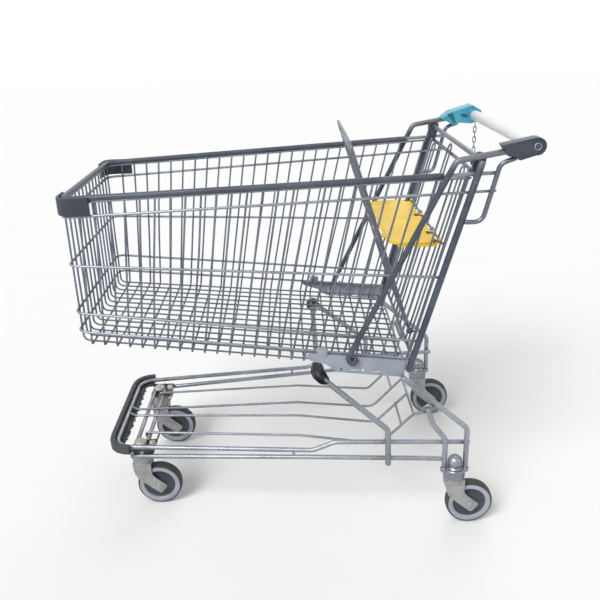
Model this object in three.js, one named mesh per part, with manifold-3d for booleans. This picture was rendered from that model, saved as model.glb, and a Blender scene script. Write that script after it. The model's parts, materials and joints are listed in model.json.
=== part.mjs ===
// A wire shopping cart on four swivel castors, in millimetres, +Z up.
// The front of the cart points to -X and its left side to -Y.
// The origin is on the floor, midway along and across.
import * as THREE from 'three';
import { mergeVertices } from 'three/addons/utils/BufferGeometryUtils.js';
import Module from 'manifold-3d';

const wasm = await Module();
wasm.setup();

// Gaps between pieces that touch, and between pieces that turn
const seatGap = 0.3;
const runningGap = 0.5;

// Basket: a tapered wire tray, wider and deeper at the rear
const basketFront = -540;
const basketRear = 419;
const railFrontHalf = 227;
const railRearHalf = 273;
const railFrontHeight = 894;
const railRearHeight = 935;
const railRadius = 7;
const railSleeveEnd = 330;
const railRodRadius = 4.5;
const railRodEnd = 460;
const railCornerBend = 30;
const wireRadius = 2.5;
const ringRadius = 3.25;
const ringFrontHeights = [852, 735, 614, 565];
const ringRears = [[447, 896], [338, 690], [285, 524], [270, 476]];
const wallFrontHalf = 230;
const wallRearHalf = 269;
const wallFlare = 0.025;
const wallMidHeight = 700;
const sideWireCount = 26;
const sideTopFirst = basketFront + 41;
const sideTopLast = 385;
const sideBottomFirst = basketFront + 23;
const sideBottomLast = 253;
const frontWireCount = 14;
const frontHalf = 210;
const floorFrontHeight = 529;
const floorRear = 262;
const floorRearHeight = 443;
const floorRodRadius = 3.5;
const railFlat = railRadius * Math.cos(Math.PI / 8);
const wireFlat = wireRadius * Math.cos(Math.PI / 4);
const topWireDrop = railFlat + wireFlat + 2 * seatGap;
const weldPress = 3;
const wireClear = 0.9;
const bumperLength = 66;
const bumperHeight = 43;
const bumperWall = 5.5;

// Rear frame: corner posts, handle tubes and loop tubes
const postRadius = 8;
const postTop = [406, 953];
const postBottom = [265, 446];
const handleTubeRadius = 7;
const handleTubeHalf = 287;
const handleBend = [352, 967];
const hookRadius = 11.5;
const loopRadius = 5.5;
const loopKnee = [420.5, 830];
const loopDrop = 5.5;
const loopBend = 22;

// Handle: a grip between the end cap and the coin lock
const handleReach = 103.5;
const handleX = basketRear + handleReach;
const handleHeight = 995;
const gripRadius = 14;
const coreRadius = 10;
const capInner = 268;
const capOuter = 300;
const capNose = 19.5;
const capLength = 60.5;
const loopTop = [handleX - capLength + 12, handleHeight - 30];
const lockInner = 246;
const lockDrop = 23;

// Hinge bar, flap, backrest and seat
const barX = 408;
const barHeight = 966;
const barRadius = 6;
const axleX = 404;
const axleHeight = 932;
const axleRadius = 4.5;
const bearingThickness = 12;
const bearingWall = 6;
const flapBottom = [274, 482];
const flapHalf = 222;
const flapFrameRadius = 4;
const hairpinLeg = 30;
const hairpinRise = 24;
const sideHairpinHalf = 172;
const lowHairpinHalf = 86;
const lowHairpinLeg = 50;
const pivotHeight = 530;
const backrestTop = [126, 998];
const backrestHalf = 200;
const backrestFrameRadius = 4;
const backrestWirePitch = 40;
const backrestCrossDrop = 26;
const seatHingeHeight = 758;
const seatHingeRadius = 3;
const seatDepth = 128;
const seatTab = 18;
const seatTabWidth = 22;
const seatHalf = 215;
const seatThickness = 4;
const knuckleWall = 3;
const knuckleHalf = 6.5;

// Base frame and its tubes
const baseTubeRadius = 6.25;
const baseFront = -510;
const baseFrontHalf = 185.5;
const baseHalfSlope = 0.101;
const baseHeight = 202;
const baseRearHeight = 235;
const baseJogStart = 25;
const baseJogEnd = 83;
const baseRearEnd = 431;
const baseCornerBend = 45;
const lowTubeFront = -470;
const lowTubeFrontHeight = 173;
const lowTubeRearHeight = 193;
const lowBumperWall = 13.5;
const lowBumperHeight = 28;
const lowBumperRear = -455;
const supportRadius = 7.5;
const supportFootX = 219;
const supportFootHeight = 176;
const supportBendHeight = 283;
const supportCrossX = 42;
const supportCrossHalf = 250;
const supportDrop = 11;
const supportBend = 34;
const sleeveWall = 7;
const sleeveReach = 6;
const plateThickness = 5;
const plateRear = postBottom[0] - postRadius - 1;
const plateFront = 15;
const braceDrop = 42;

// Castors
const castorRearX = 392.5;
const castorRearHalf = 279;
const castorFrontX = -448;
const castorFrontHalf = 154;
const castorTrail = 42;
const tyreRadius = 62.5;
const tyreHalf = 15;
const rimRadius = 51.5;
const rimInner = 42;
const hubHalf = 16.3;
const hubRadius = 13;
const wheelBoltRadius = 4.5;
const wheelSides = 20;
const tyreClear = 3.47;
const forkHeadHeight = 12;
const castorFace = 139.7;
const forkHeadRadius = 27;
const forkArmThickness = 4;
const forkArmWidth = 13;
const kingPinRadius = 6;
const kingPinLength = 20;
const housingTop = 167.7;
const postSpread = 27.5;
const rearTubeRadius = 7;
const frontPlateTop = 198;
const frontPlateBottom = 184;
const frontPlateInner = 120;
const domeRadius = 19;

// Tray under the basket, and the chain of the lock
const trayWireRadius = 3.5;
const trayCrossRadius = 6;
const trayCross = [-459, -430];
const trayHeight = 196;
const trayBend = [213, 165];
const trayStub = [270, 226];
const trayRodEnd = [303, 258];
const chainX = 528;
const chainHalf = 255;
const chainTop = 976;
const chainLength = 106;
const chainRadius = 3;

// A castor's height follows its wheel, and the frame is drawn with its castor faces at castorFace
const tyreApothem = tyreRadius * Math.cos(Math.PI / wheelSides);
const forkTop = tyreApothem + tyreRadius + tyreClear + forkHeadHeight;
const frameLift = forkTop - castorFace;
const frontEnd = basketFront - railRadius - seatGap - bumperWall;
const rearEnd = handleX + capNose;
const middleX = (frontEnd + rearEnd) / 2;

const cart = new THREE.Group();
const sides = { left: -1, right: 1 };

const finishes = {
  zinc: { color: 0x9aa2ab, roughness: 0.35, metalness: 0.9 },
  slate: { color: 0x4b5361, roughness: 0.45, metalness: 0.2 },
  plate: { color: 0x98a2ae, roughness: 0.5, metalness: 0.1 },
  yellow: { color: 0xf2cf33, roughness: 0.45, metalness: 0 },
  teal: { color: 0x2f9fb5, roughness: 0.4, metalness: 0 },
  white: { color: 0xe9eaea, roughness: 0.45, metalness: 0 },
  rubber: { color: 0x55565a, roughness: 0.8, metalness: 0 },
  black: { color: 0x26282c, roughness: 0.6, metalness: 0 },
};

function add(name, geometry, finish, lift = frameLift) {
  const placed = geometry.translate(-middleX, 0, lift);
  const mesh = new THREE.Mesh(placed, new THREE.MeshStandardMaterial(finishes[finish]));
  mesh.name = name;
  cart.add(mesh);
}

function mix(a, b, t) {
  return a + (b - a) * t;
}

// Joining and cutting
function solid(geometry) {
  const bare = geometry.clone();
  bare.deleteAttribute('normal');
  bare.deleteAttribute('uv');
  const merged = mergeVertices(bare, 1e-4);
  return new wasm.Manifold(new wasm.Mesh({
    numProp: 3,
    vertProperties: new Float32Array(merged.attributes.position.array),
    triVerts: new Uint32Array(merged.index.array),
  }));
}

function surface(body) {
  const mesh = body.getMesh();
  const geometry = new THREE.BufferGeometry();
  geometry.setAttribute('position', new THREE.BufferAttribute(mesh.vertProperties, mesh.numProp));
  geometry.setIndex(new THREE.BufferAttribute(mesh.triVerts, 1));
  geometry.computeVertexNormals();
  return geometry;
}

function weld(pieces) {
  return surface(pieces.map(solid).reduce((whole, piece) => whole.add(piece)));
}

function cut(piece, tools) {
  return surface(tools.map(solid).reduce((whole, tool) => whole.subtract(tool), solid(piece)));
}

// A route through given points whose corners are rounded to a bend radius
class Route extends THREE.Curve {
  constructor(points, bend, bendSteps = 4) {
    super();
    const corners = points.map((p) => new THREE.Vector3(...p));
    this.stops = [corners[0]];
    for (let i = 1; i < corners.length - 1; i += 1) {
      if (!bend) {
        this.stops.push(corners[i]);
        continue;
      }
      const back = corners[i - 1].clone().sub(corners[i]);
      const ahead = corners[i + 1].clone().sub(corners[i]);
      const half = back.angleTo(ahead) / 2;
      const room = 0.48 * Math.min(back.length(), ahead.length());
      const reach = Math.min(bend / Math.tan(half), room);
      const radius = reach * Math.tan(half);
      back.normalize();
      ahead.normalize();
      const middle = back.clone().add(ahead).normalize();
      const centre = corners[i].clone().addScaledVector(middle, radius / Math.sin(half));
      const across = ahead.clone().sub(back).normalize();
      const sweep = Math.PI / 2 - half;
      for (let k = 0; k <= bendSteps; k += 1) {
        const turn = mix(-sweep, sweep, k / bendSteps);
        this.stops.push(centre.clone()
          .addScaledVector(middle, -radius * Math.cos(turn))
          .addScaledVector(across, radius * Math.sin(turn)));
      }
    }
    this.stops.push(corners[corners.length - 1]);
    this.steps = this.stops.length - 1;
  }

  getUtoTmapping(u) {
    return u;
  }

  getPoint(t, target = new THREE.Vector3()) {
    const place = t * this.steps;
    const i = Math.min(Math.floor(place), this.steps - 1);
    return target.copy(this.stops[i]).lerp(this.stops[i + 1], place - i);
  }

  getTangent(t, target = new THREE.Vector3()) {
    const i = Math.round(t * this.steps);
    const before = this.stops[Math.max(i - 1, 0)];
    const here = this.stops[i];
    const after = this.stops[Math.min(i + 1, this.steps)];
    const into = here.clone().sub(before).normalize();
    const out = after.clone().sub(here).normalize();
    return target.copy(into).add(out).normalize();
  }
}

function ring(radius, count) {
  const points = [];
  for (let i = 0; i < count; i += 1) {
    const turn = (2 * Math.PI * (i + 0.5)) / count;
    points.push(new THREE.Vector2(radius * Math.cos(turn), radius * Math.sin(turn)));
  }
  return points;
}

function sweep(route, radius, count, bore = 0) {
  const section = new THREE.Shape(ring(radius, count));
  if (bore) section.holes.push(new THREE.Path(ring(bore, count)));
  return new THREE.ExtrudeGeometry(section, { steps: route.steps, extrudePath: route });
}

function tube(points, radius, bend = 0, bendSteps = 3) {
  return sweep(new Route(points, bend, bendSteps), radius, 8);
}

function wire(points, radius, bend = 0, bendSteps = 3) {
  return sweep(new Route(points, bend, bendSteps), radius, 4);
}

// A plate drawn in the XZ plane and standing between two Y values
function plateXZ(outline, low, high, holes = []) {
  const shape = outline instanceof THREE.Shape ? outline : shapeOf(outline);
  holes.forEach((hole) => shape.holes.push(hole));
  const settings = { depth: high - low, bevelEnabled: false, curveSegments: 4 };
  return new THREE.ExtrudeGeometry(shape, settings).rotateX(Math.PI / 2).translate(0, high, 0);
}

function shapeOf(points) {
  return new THREE.Shape(points.map((p) => new THREE.Vector2(...p)));
}

function hole(x, z, radius) {
  return new THREE.Path().absarc(x, z, radius, 0, 2 * Math.PI, true);
}

function slab(outline, low, high) {
  const settings = { depth: high - low, bevelEnabled: false };
  return new THREE.ExtrudeGeometry(shapeOf(outline), settings).translate(0, 0, low);
}

// Places a plate on one side of the cart, between two distances from the middle plane
function sidePlate(outline, side, near, far, holes = []) {
  return side < 0 ? plateXZ(outline, -far, -near, holes) : plateXZ(outline, near, far, holes);
}

function turned(profile, count) {
  return new THREE.LatheGeometry(profile.map((p) => new THREE.Vector2(...p)), count);
}

// Turned about Y, then stood upright
function upright(profile, count, x, y) {
  return turned(profile, count).rotateX(Math.PI / 2).translate(x, y, 0);
}

// Basket surfaces
function railHalf(x) {
  return mix(railFrontHalf, railRearHalf, (x - basketFront) / (basketRear - basketFront));
}

function railHeight(x) {
  return mix(railFrontHeight, railRearHeight, (x - basketFront) / (basketRear - basketFront));
}

function wallHalf(x, z) {
  const t = (x - basketFront) / (basketRear - basketFront);
  return mix(wallFrontHalf, wallRearHalf + (z - wallMidHeight) * wallFlare, t);
}

function floorHeight(x) {
  return mix(floorFrontHeight, floorRearHeight, (x - basketFront) / (floorRear - basketFront));
}

const ringOffset = wireRadius + ringRadius;
const ringFront = basketFront - ringOffset;

function sideWireHalf(x, z) {
  return wallHalf(x, z) - ringOffset;
}

function baseHalf(x) {
  return baseFrontHalf + (x - baseFront) * baseHalfSlope;
}

function postX(z) {
  return mix(postBottom[0], postTop[0], (z - postBottom[1]) / (postTop[1] - postBottom[1]));
}

// The corner posts stand outside the ring wires
function postHalf(z) {
  return wallHalf(postX(z), z) + ringRadius + postRadius - 2 * seatGap;
}

function plateTopAt(x) {
  const [rearX, rearZ] = ringRears[ringRears.length - 1];
  const frontZ = ringFrontHeights[ringFrontHeights.length - 1];
  return mix(frontZ, rearZ, (x - ringFront) / (rearX - ringFront)) - ringRadius + seatGap;
}

// The side plates lie outside the lowest ring, and the handle tubes hook over them
const platePlane = wallHalf(plateRear, plateTopAt(plateRear)) + ringRadius + seatGap;
const hookHalf = platePlane + plateThickness + handleTubeRadius;
const loopRod = railHalf(railRodEnd) + railRodRadius + loopRadius + seatGap;
const loopHalf = Math.max(postHalf(loopKnee[1] - loopDrop), loopRod);

// Top rail and its bumpers
const railRoute = [
  [railSleeveEnd, -railHalf(railSleeveEnd), railHeight(railSleeveEnd)],
  [basketFront, -railFrontHalf, railFrontHeight],
  [basketFront, railFrontHalf, railFrontHeight],
  [railSleeveEnd, railHalf(railSleeveEnd), railHeight(railSleeveEnd)],
];
function railRod(side) {
  const inside = railSleeveEnd - railRadius;
  return tube([
    [inside, side * railHalf(inside), railHeight(inside)],
    [railRodEnd, side * railHalf(railRodEnd), railHeight(railRodEnd)],
  ], railRodRadius);
}
add('top_rail', weld([tube(railRoute, railRadius, railCornerBend), railRod(-1), railRod(1)]), 'slate');

function bumper(side) {
  const inFront = basketFront - railRadius - seatGap;
  const outFront = inFront - bumperWall;
  const rear = basketFront + bumperLength;
  const inHalf = railHalf(rear) + railRadius + seatGap;
  const outHalf = inHalf + bumperWall;
  const inner = inHalf - bumperLength;
  const round = railCornerBend;
  const outline = new THREE.Shape();
  outline.moveTo(outFront, side * inner);
  outline.lineTo(outFront, side * (outHalf - round));
  outline.quadraticCurveTo(outFront, side * outHalf, outFront + round, side * outHalf);
  outline.lineTo(rear, side * outHalf);
  outline.lineTo(rear, side * inHalf);
  outline.lineTo(inFront + round, side * inHalf);
  outline.quadraticCurveTo(inFront, side * inHalf, inFront, side * (inHalf - round));
  outline.lineTo(inFront, side * inner);
  const settings = { depth: bumperHeight, bevelEnabled: false, curveSegments: 4 };
  const low = railFrontHeight + railRadius + seatGap - bumperHeight;
  return new THREE.ExtrudeGeometry(outline, settings).translate(0, 0, low);
}
for (const [name, side] of Object.entries(sides)) add(`bumper_${name}`, bumper(side), 'slate');

// Side panels: upright wires inside four ring wires, hung from a thin wire under the rail
function sidePanel(side) {
  const pieces = [];
  const topWireHeight = (x) => railHeight(x) - topWireDrop;
  const topHalf = (x) => sideWireHalf(x, topWireHeight(x));
  for (let i = 0; i < sideWireCount; i += 1) {
    const s = i / (sideWireCount - 1);
    const outer = i === 0 || i === sideWireCount - 1;
    const press = outer ? weldPress : -wireClear;
    const topX = mix(sideTopFirst, sideTopLast, s);
    const lowX = mix(sideBottomFirst, sideBottomLast, s);
    const lowZ = floorHeight(lowX);
    pieces.push(wire([
      [topX, side * (topHalf(topX) + press), topWireHeight(topX)],
      [lowX, side * (sideWireHalf(lowX, lowZ) + press), lowZ],
    ], wireRadius));
  }
  const first = sideTopFirst - 2 * wireRadius;
  const last = sideTopLast + 2 * wireRadius;
  pieces.push(wire([
    [first, side * topHalf(first), topWireHeight(first)],
    [last, side * topHalf(last), topWireHeight(last)],
  ], wireRadius));
  ringRears.forEach(([rearX, rearZ], k) => {
    const frontX = ringFront + ringRadius + seatGap;
    const frontZ = ringFrontHeights[k];
    pieces.push(wire([
      [frontX, side * wallHalf(frontX, frontZ), frontZ],
      [rearX, side * wallHalf(rearX, rearZ), rearZ],
    ], ringRadius));
  });
  return weld(pieces);
}
for (const [name, side] of Object.entries(sides)) add(`side_panel_${name}`, sidePanel(side), 'zinc');

function frontPanel() {
  const pieces = [];
  const top = railFrontHeight - topWireDrop;
  for (let i = 0; i < frontWireCount; i += 1) {
    const y = mix(-frontHalf, frontHalf, i / (frontWireCount - 1));
    const outer = i === 0 || i === frontWireCount - 1;
    const x = basketFront - (outer ? weldPress : -wireClear);
    pieces.push(wire([[x, y, top], [x, y, floorFrontHeight]], wireRadius));
  }
  const end = frontHalf + 2 * wireRadius;
  pieces.push(wire([[basketFront, -end, top], [basketFront, end, top]], wireRadius));
  ringFrontHeights.forEach((z) => {
    const reach = wallHalf(ringFront, z) - ringRadius - seatGap;
    pieces.push(wire([[ringFront, -reach, z], [ringFront, reach, z]], ringRadius));
  });
  return weld(pieces);
}
add('front_panel', frontPanel(), 'zinc');

// Floor: long wires over cross wires, closed by a rod at each end
function floorPanel() {
  const pieces = [];
  const frontX = basketFront + wireClear + wireFlat + floorRodRadius * Math.cos(Math.PI / 4) + 2 * seatGap;
  const lift = 2 * wireRadius + wireClear;
  for (let i = 0; i < frontWireCount; i += 1) {
    const share = i / (frontWireCount - 1);
    const frontY = mix(-frontHalf, frontHalf, share);
    const rearY = frontY * (wallRearHalf / wallFrontHalf);
    const spine = i === Math.floor(frontWireCount / 2);
    const rise = spine ? wireRadius : lift;
    pieces.push(wire([
      [frontX, frontY, floorHeight(frontX) + rise],
      [floorRear, rearY, floorHeight(floorRear) + rise],
    ], wireRadius));
  }
  for (let i = 0; i < sideWireCount; i += 1) {
    const x = mix(sideBottomFirst, sideBottomLast, i / (sideWireCount - 1));
    const z = floorHeight(x);
    const half = sideWireHalf(x, z) - 2 * wireRadius - seatGap;
    pieces.push(wire([[x, -half, z], [x, half, z]], wireRadius));
  }
  for (const x of [frontX, floorRear]) {
    const z = floorHeight(x) + lift;
    const half = sideWireHalf(x, z) - 2 * wireRadius - seatGap;
    pieces.push(wire([[x, -half, z], [x, half, z]], floorRodRadius));
  }
  return weld(pieces);
}
add('floor_panel', floorPanel(), 'zinc');

// Corner posts, handle tubes and loop tubes
function cornerPost(side) {
  return tube([
    [postTop[0], side * postHalf(postTop[1]), postTop[1]],
    [postBottom[0], side * postHalf(postBottom[1]), postBottom[1]],
  ], postRadius);
}

const capFace = handleX - capLength;
const hookX = 125.5;
const hookHeight = 488;
function handleTube(side) {
  const slope = (handleHeight - handleBend[1]) / (handleX - handleBend[0]);
  const end = capFace - seatGap;
  return tube([
    [end, side * handleTubeHalf, handleBend[1] + slope * (end - handleBend[0])],
    [handleBend[0], side * handleTubeHalf, handleBend[1]],
    [hookX - hookRadius, side * hookHalf, hookHeight],
    [hookX, side * hookHalf, hookHeight - 1.5 * hookRadius],
    [hookX + hookRadius, side * hookHalf, hookHeight],
  ], handleTubeRadius, hookRadius);
}

function loopTube(side) {
  const low = loopKnee[1] - loopDrop;
  const rear = postX(low) + postRadius + 1.8;
  return tube([
    [loopTop[0] + 8, side * loopHalf, loopTop[1] + 3],
    [loopTop[0] - 23, side * loopHalf, loopTop[1] - 8],
    [loopKnee[0], side * loopHalf, loopKnee[1] - 5],
    [rear, side * loopHalf, low],
  ], loopRadius, loopBend);
}
for (const [name, side] of Object.entries(sides)) {
  add(`corner_post_${name}`, cornerPost(side), 'slate');
  add(`handle_tube_${name}`, handleTube(side), 'slate');
  add(`loop_tube_${name}`, loopTube(side), 'zinc');
}

// Handle grip, its core, the end cap and the coin lock
const gripEnd = lockInner - seatGap;
const capFaceY = -(capInner - seatGap);
const bore = coreRadius + seatGap;
add('handle_grip', turned([
  [bore, capFaceY], [gripRadius, capFaceY], [gripRadius, gripEnd], [bore, gripEnd], [bore, capFaceY],
], 16).translate(handleX, 0, handleHeight), 'white');
add('handle_core', turned([
  [0, capFaceY], [coreRadius, capFaceY], [coreRadius, gripEnd], [0, gripEnd],
], 12).translate(handleX, 0, handleHeight), 'zinc');

function endCap() {
  const outline = new THREE.Shape();
  outline.moveTo(capFace - 16, handleHeight + 5);
  outline.lineTo(capFace, handleHeight - 20);
  outline.lineTo(loopTop[0] + 2, loopTop[1] + loopRadius + 3);
  outline.lineTo(handleX - 4, handleHeight - capNose);
  outline.absarc(handleX, handleHeight, capNose, -0.6 * Math.PI, 0.55 * Math.PI, false);
  return plateXZ(outline, -capOuter, -capInner);
}
add('end_cap', cut(endCap(), [handleTubeBore(-1)]), 'slate');

function handleTubeBore(side) {
  const slope = (handleHeight - handleBend[1]) / (handleX - handleBend[0]);
  const start = capFace - 40;
  const stop = capFace + 1;
  return tube([
    [start, side * handleTubeHalf, handleBend[1] + slope * (start - handleBend[0])],
    [stop, side * handleTubeHalf, handleBend[1] + slope * (stop - handleBend[0])],
  ], handleTubeRadius + runningGap);
}

function coinLock() {
  const outline = new THREE.Shape();
  outline.moveTo(capFace - 32, handleHeight - 8);
  outline.lineTo(capFace - 2, handleHeight - 25);
  outline.lineTo(loopTop[0] + 8, loopTop[1] + loopRadius + 4.2);
  outline.lineTo(handleX - 6.5, handleHeight - lockDrop);
  outline.lineTo(handleX + 16, handleHeight - lockDrop + 11);
  outline.lineTo(handleX + capNose, handleHeight + 12);
  outline.lineTo(handleX - 6, handleHeight + 28);
  outline.lineTo(capFace - 8, handleHeight + 10);
  return plateXZ(outline, lockInner, capOuter);
}
const coinSlot = new THREE.BoxGeometry(30, 3, 14);
coinSlot.translate(handleX - 26, lockInner + 18, handleHeight + 20);
add('coin_lock', cut(coinLock(), [handleTubeBore(1), coinSlot]), 'teal');

// Chain and key of the lock: the chain's outer form as one plain tube
const keyTop = chainTop - chainLength - seatGap;
add('lock_chain', tube([
  [chainX, chainHalf, chainTop],
  [chainX, chainHalf, chainTop - chainLength / 2],
  [chainX, chainHalf, chainTop - chainLength],
], chainRadius), 'zinc');
add('chain_key', weld([
  new THREE.BoxGeometry(10, 16, 18).translate(chainX, chainHalf, keyTop - 9),
  new THREE.BoxGeometry(3, 11, 30).translate(chainX, chainHalf, keyTop - 30),
]), 'black');

// Hinge bar, and the bearings that hold it and the flap's axle
const bearingOuter = railHalf(axleX - axleRadius - bearingWall) - railRodRadius;
const bearingInner = bearingOuter - bearingThickness;
function bearing(side) {
  const lean = Math.atan2(barHeight - axleHeight, barX - axleX);
  const outline = new THREE.Shape();
  const start = lean - Math.PI / 2;
  outline.absarc(barX, barHeight, barRadius + 9, start, start + Math.PI, false);
  outline.absarc(axleX, axleHeight, axleRadius + bearingWall, start + Math.PI, start + 2 * Math.PI, false);
  return sidePlate(outline, side, bearingInner, bearingOuter, [
    hole(barX, barHeight, barRadius + runningGap),
    hole(axleX, axleHeight, axleRadius + runningGap),
  ]);
}
for (const [name, side] of Object.entries(sides)) add(`bearing_${name}`, bearing(side), 'black');

const barEnd = bearingOuter - 2;
add('hinge_bar', tube([[barX, -barEnd, barHeight], [barX, barEnd, barHeight]], barRadius), 'zinc');

// Rear flap: hairpin wires on an axle, a hinge rod for the seat and eyes for the backrest.
// Above the seat it is open on both sides of the middle hairpin, for the legs.
const flapOffset = axleRadius + wireRadius + wireClear;
const flapLean = (axleX - flapOffset - flapBottom[0]) / (axleHeight - flapBottom[1]);
const flapAngle = Math.atan(flapLean);
function flapX(z) {
  return flapBottom[0] + flapLean * (z - flapBottom[1]);
}
const pivotX = flapX(pivotHeight) - 12;
const hingeOut = wireRadius + seatHingeRadius + seatGap;
const seatHingeX = flapX(seatHingeHeight) - hingeOut * Math.cos(flapAngle);
const seatHingeZ = seatHingeHeight + hingeOut * Math.sin(flapAngle);
const eyeHalf = backrestHalf + backrestFrameRadius + 6;

function eye(side) {
  const inner = backrestFrameRadius + runningGap;
  const outer = inner + 4;
  const half = 3;
  return turned([[inner, -half], [outer, -half], [outer, half], [inner, half], [inner, -half]], 12)
    .translate(pivotX, side * eyeHalf, pivotHeight);
}

function flap() {
  const pieces = [];
  pieces.push(tube([[axleX, -barEnd, axleHeight], [axleX, barEnd, axleHeight]], axleRadius));
  for (const side of [-1, 1]) {
    pieces.push(tube([
      [flapX(axleHeight), side * flapHalf, axleHeight],
      [flapBottom[0], side * flapHalf, flapBottom[1]],
    ], flapFrameRadius));
    pieces.push(wire([
      [flapX(axleHeight), side * flapHalf, axleHeight],
      [axleX, side * flapHalf, axleHeight],
    ], flapFrameRadius));
    pieces.push(eye(side));
    const lugZ = pivotHeight;
    pieces.push(wire([
      [flapX(lugZ), side * (flapHalf + 1), lugZ],
      [pivotX + backrestFrameRadius + 2.5, side * eyeHalf, lugZ],
    ], wireRadius));
  }
  const hairpin = (y, width, topZ) => {
    const leg = width / 2;
    pieces.push(wire([
      [flapBottom[0], y - leg, flapBottom[1]],
      [flapX(topZ), y - leg, topZ],
      [flapX(topZ), y + leg, topZ],
      [flapBottom[0], y + leg, flapBottom[1]],
    ], wireRadius, hairpinLeg / 2, 2));
  };
  hairpin(0, hairpinLeg, axleHeight + hairpinRise);
  for (const side of [-1, 1]) {
    hairpin(side * sideHairpinHalf, hairpinLeg, axleHeight);
    hairpin(side * lowHairpinHalf, lowHairpinLeg, seatHingeHeight);
  }
  const [lowX, lowZ] = flapBottom;
  pieces.push(tube([[lowX, -flapHalf, lowZ], [lowX, flapHalf, lowZ]], flapFrameRadius));
  pieces.push(tube([
    [seatHingeX, -flapHalf, seatHingeZ],
    [seatHingeX, flapHalf, seatHingeZ],
  ], seatHingeRadius));
  return weld(pieces);
}
add('rear_flap', flap(), 'zinc');

// Backrest: a hooped frame with upright wires, turning on its own bottom rod
const backLean = Math.atan2(backrestTop[0] - pivotX, backrestTop[1] - pivotHeight);
const backLength = Math.hypot(backrestTop[0] - pivotX, backrestTop[1] - pivotHeight);
function backPoint(distance, y, out = 0) {
  return [
    pivotX + distance * Math.sin(backLean) - out * Math.cos(backLean),
    y,
    pivotHeight + distance * Math.cos(backLean) + out * Math.sin(backLean),
  ];
}

function backrest() {
  const pieces = [];
  const rodEnd = eyeHalf + 4.5;
  pieces.push(tube([backPoint(0, -rodEnd), backPoint(0, rodEnd)], backrestFrameRadius));
  pieces.push(tube([
    backPoint(0, -backrestHalf),
    backPoint(backLength, -backrestHalf),
    backPoint(backLength, backrestHalf),
    backPoint(0, backrestHalf),
  ], backrestFrameRadius, 20));
  const crossAt = backLength - backrestCrossDrop;
  pieces.push(wire([
    backPoint(crossAt, -backrestHalf, wireRadius),
    backPoint(crossAt, backrestHalf, wireRadius),
  ], wireRadius));
  const wireSpan = Math.floor((backrestHalf - backrestFrameRadius) / backrestWirePitch);
  for (let i = -wireSpan; i <= wireSpan; i += 1) {
    const y = i * backrestWirePitch;
    if (Math.abs(y) > backrestHalf - 2 * backrestFrameRadius - wireRadius) continue;
    pieces.push(wire([backPoint(0, y), backPoint(crossAt, y, wireRadius)], wireRadius));
  }
  return weld(pieces);
}
add('backrest', backrest(), 'zinc');

// Seat board: tabs reach between the backrest's wires, knuckles turn on the flap's hinge rod
// Each knuckle stands midway between two of the flap's wires
const innerGap = (hairpinLeg / 2 + lowHairpinHalf - lowHairpinLeg / 2) / 2;
const middleGap = (lowHairpinHalf + lowHairpinLeg / 2 + sideHairpinHalf - hairpinLeg / 2) / 2;
const outerGap = (sideHairpinHalf + hairpinLeg / 2 + flapHalf) / 2;
const knuckles = [-outerGap, -middleGap, innerGap, outerGap];
function seatBoard() {
  const bore = seatHingeRadius + runningGap;
  const outer = bore + knuckleWall;
  const rear = seatHingeX - outer - 1;
  const front = seatHingeX - seatDepth;
  const low = seatHingeZ - seatThickness / 2;
  const high = seatHingeZ + seatThickness / 2;
  const chamfer = 22;
  const pieces = [slab([
    [rear, -seatHalf], [rear, seatHalf], [front + chamfer, seatHalf],
    [front, seatHalf - chamfer], [front, chamfer - seatHalf], [front + chamfer, -seatHalf],
  ], low, high)];
  for (const y of [-3.5, -1.5, 1.5, 3.5].map((k) => k * backrestWirePitch)) {
    const half = seatTabWidth / 2;
    pieces.push(slab([
      [front - seatTab, y - half], [front + 1, y - half], [front + 1, y + half], [front - seatTab, y + half],
    ], low, high));
  }
  for (const y of knuckles) {
    const near = y - knuckleHalf;
    const far = y + knuckleHalf;
    const barrel = turned([
      [bore, near], [outer, near], [outer, far], [bore, far], [bore, near],
    ], 12).translate(seatHingeX, 0, seatHingeZ);
    const root = seatHingeX - bore - 1;
    const tongue = slab([
      [rear - 1, near], [root, near], [root, far], [rear - 1, far],
    ], low, high);
    const mouth = new THREE.BoxGeometry(outer * 2, 2 * knuckleHalf + 2, outer * 2)
      .translate(seatHingeX + outer + 1, y, seatHingeZ);
    pieces.push(cut(weld([barrel, tongue]), [mouth]));
  }
  return weld(pieces);
}
add('seat_board', seatBoard(), 'yellow');

// Side plates under the ring wires, with a lip, a clip tab and slots
function slot(x, z, width, height) {
  const path = new THREE.Path();
  path.moveTo(x, z);
  path.lineTo(x, z + height);
  path.lineTo(x + width, z + height);
  path.lineTo(x + width, z);
  path.closePath();
  return path;
}

function sidePlateBody(side) {
  const lipDepth = 4;
  const tabFront = plateFront + 24;
  const tabRear = tabFront + 26;
  const lipRear = sideBottomLast - 4 * wireRadius;
  const sheet = sidePlate([
    [plateFront, plateTopAt(plateFront)], [plateFront + 8, plateTopAt(plateFront) - 18],
    [plateFront + 46, plateTopAt(plateFront) - 30], [plateFront + 74, plateTopAt(plateFront) - 52],
    [plateRear, plateTopAt(plateRear) - 45], [plateRear, plateTopAt(plateRear)],
  ], side, platePlane, platePlane + plateThickness, [
    slot(96, 452, 6, 9), slot(119, 449, 24, 5), slot(149, 446, 6, 9), slot(173, 442, 24, 5),
  ]);
  const lip = sidePlate([
    [plateFront, plateTopAt(plateFront)], [plateFront, plateTopAt(plateFront) - lipDepth],
    [lipRear, plateTopAt(lipRear) - lipDepth], [lipRear, plateTopAt(lipRear)],
  ], side, wallHalf(plateRear, plateTopAt(plateRear)) - ringRadius + seatGap, platePlane + 1);
  const tab = sidePlate([
    [tabFront, plateTopAt(tabFront) - 2], [tabRear, plateTopAt(tabRear) - 2],
    [tabRear, plateTopAt(tabRear) + 14], [tabFront, plateTopAt(tabFront) + 14],
  ], side, platePlane, platePlane + plateThickness);
  return weld([sheet, lip, tab]);
}
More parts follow.
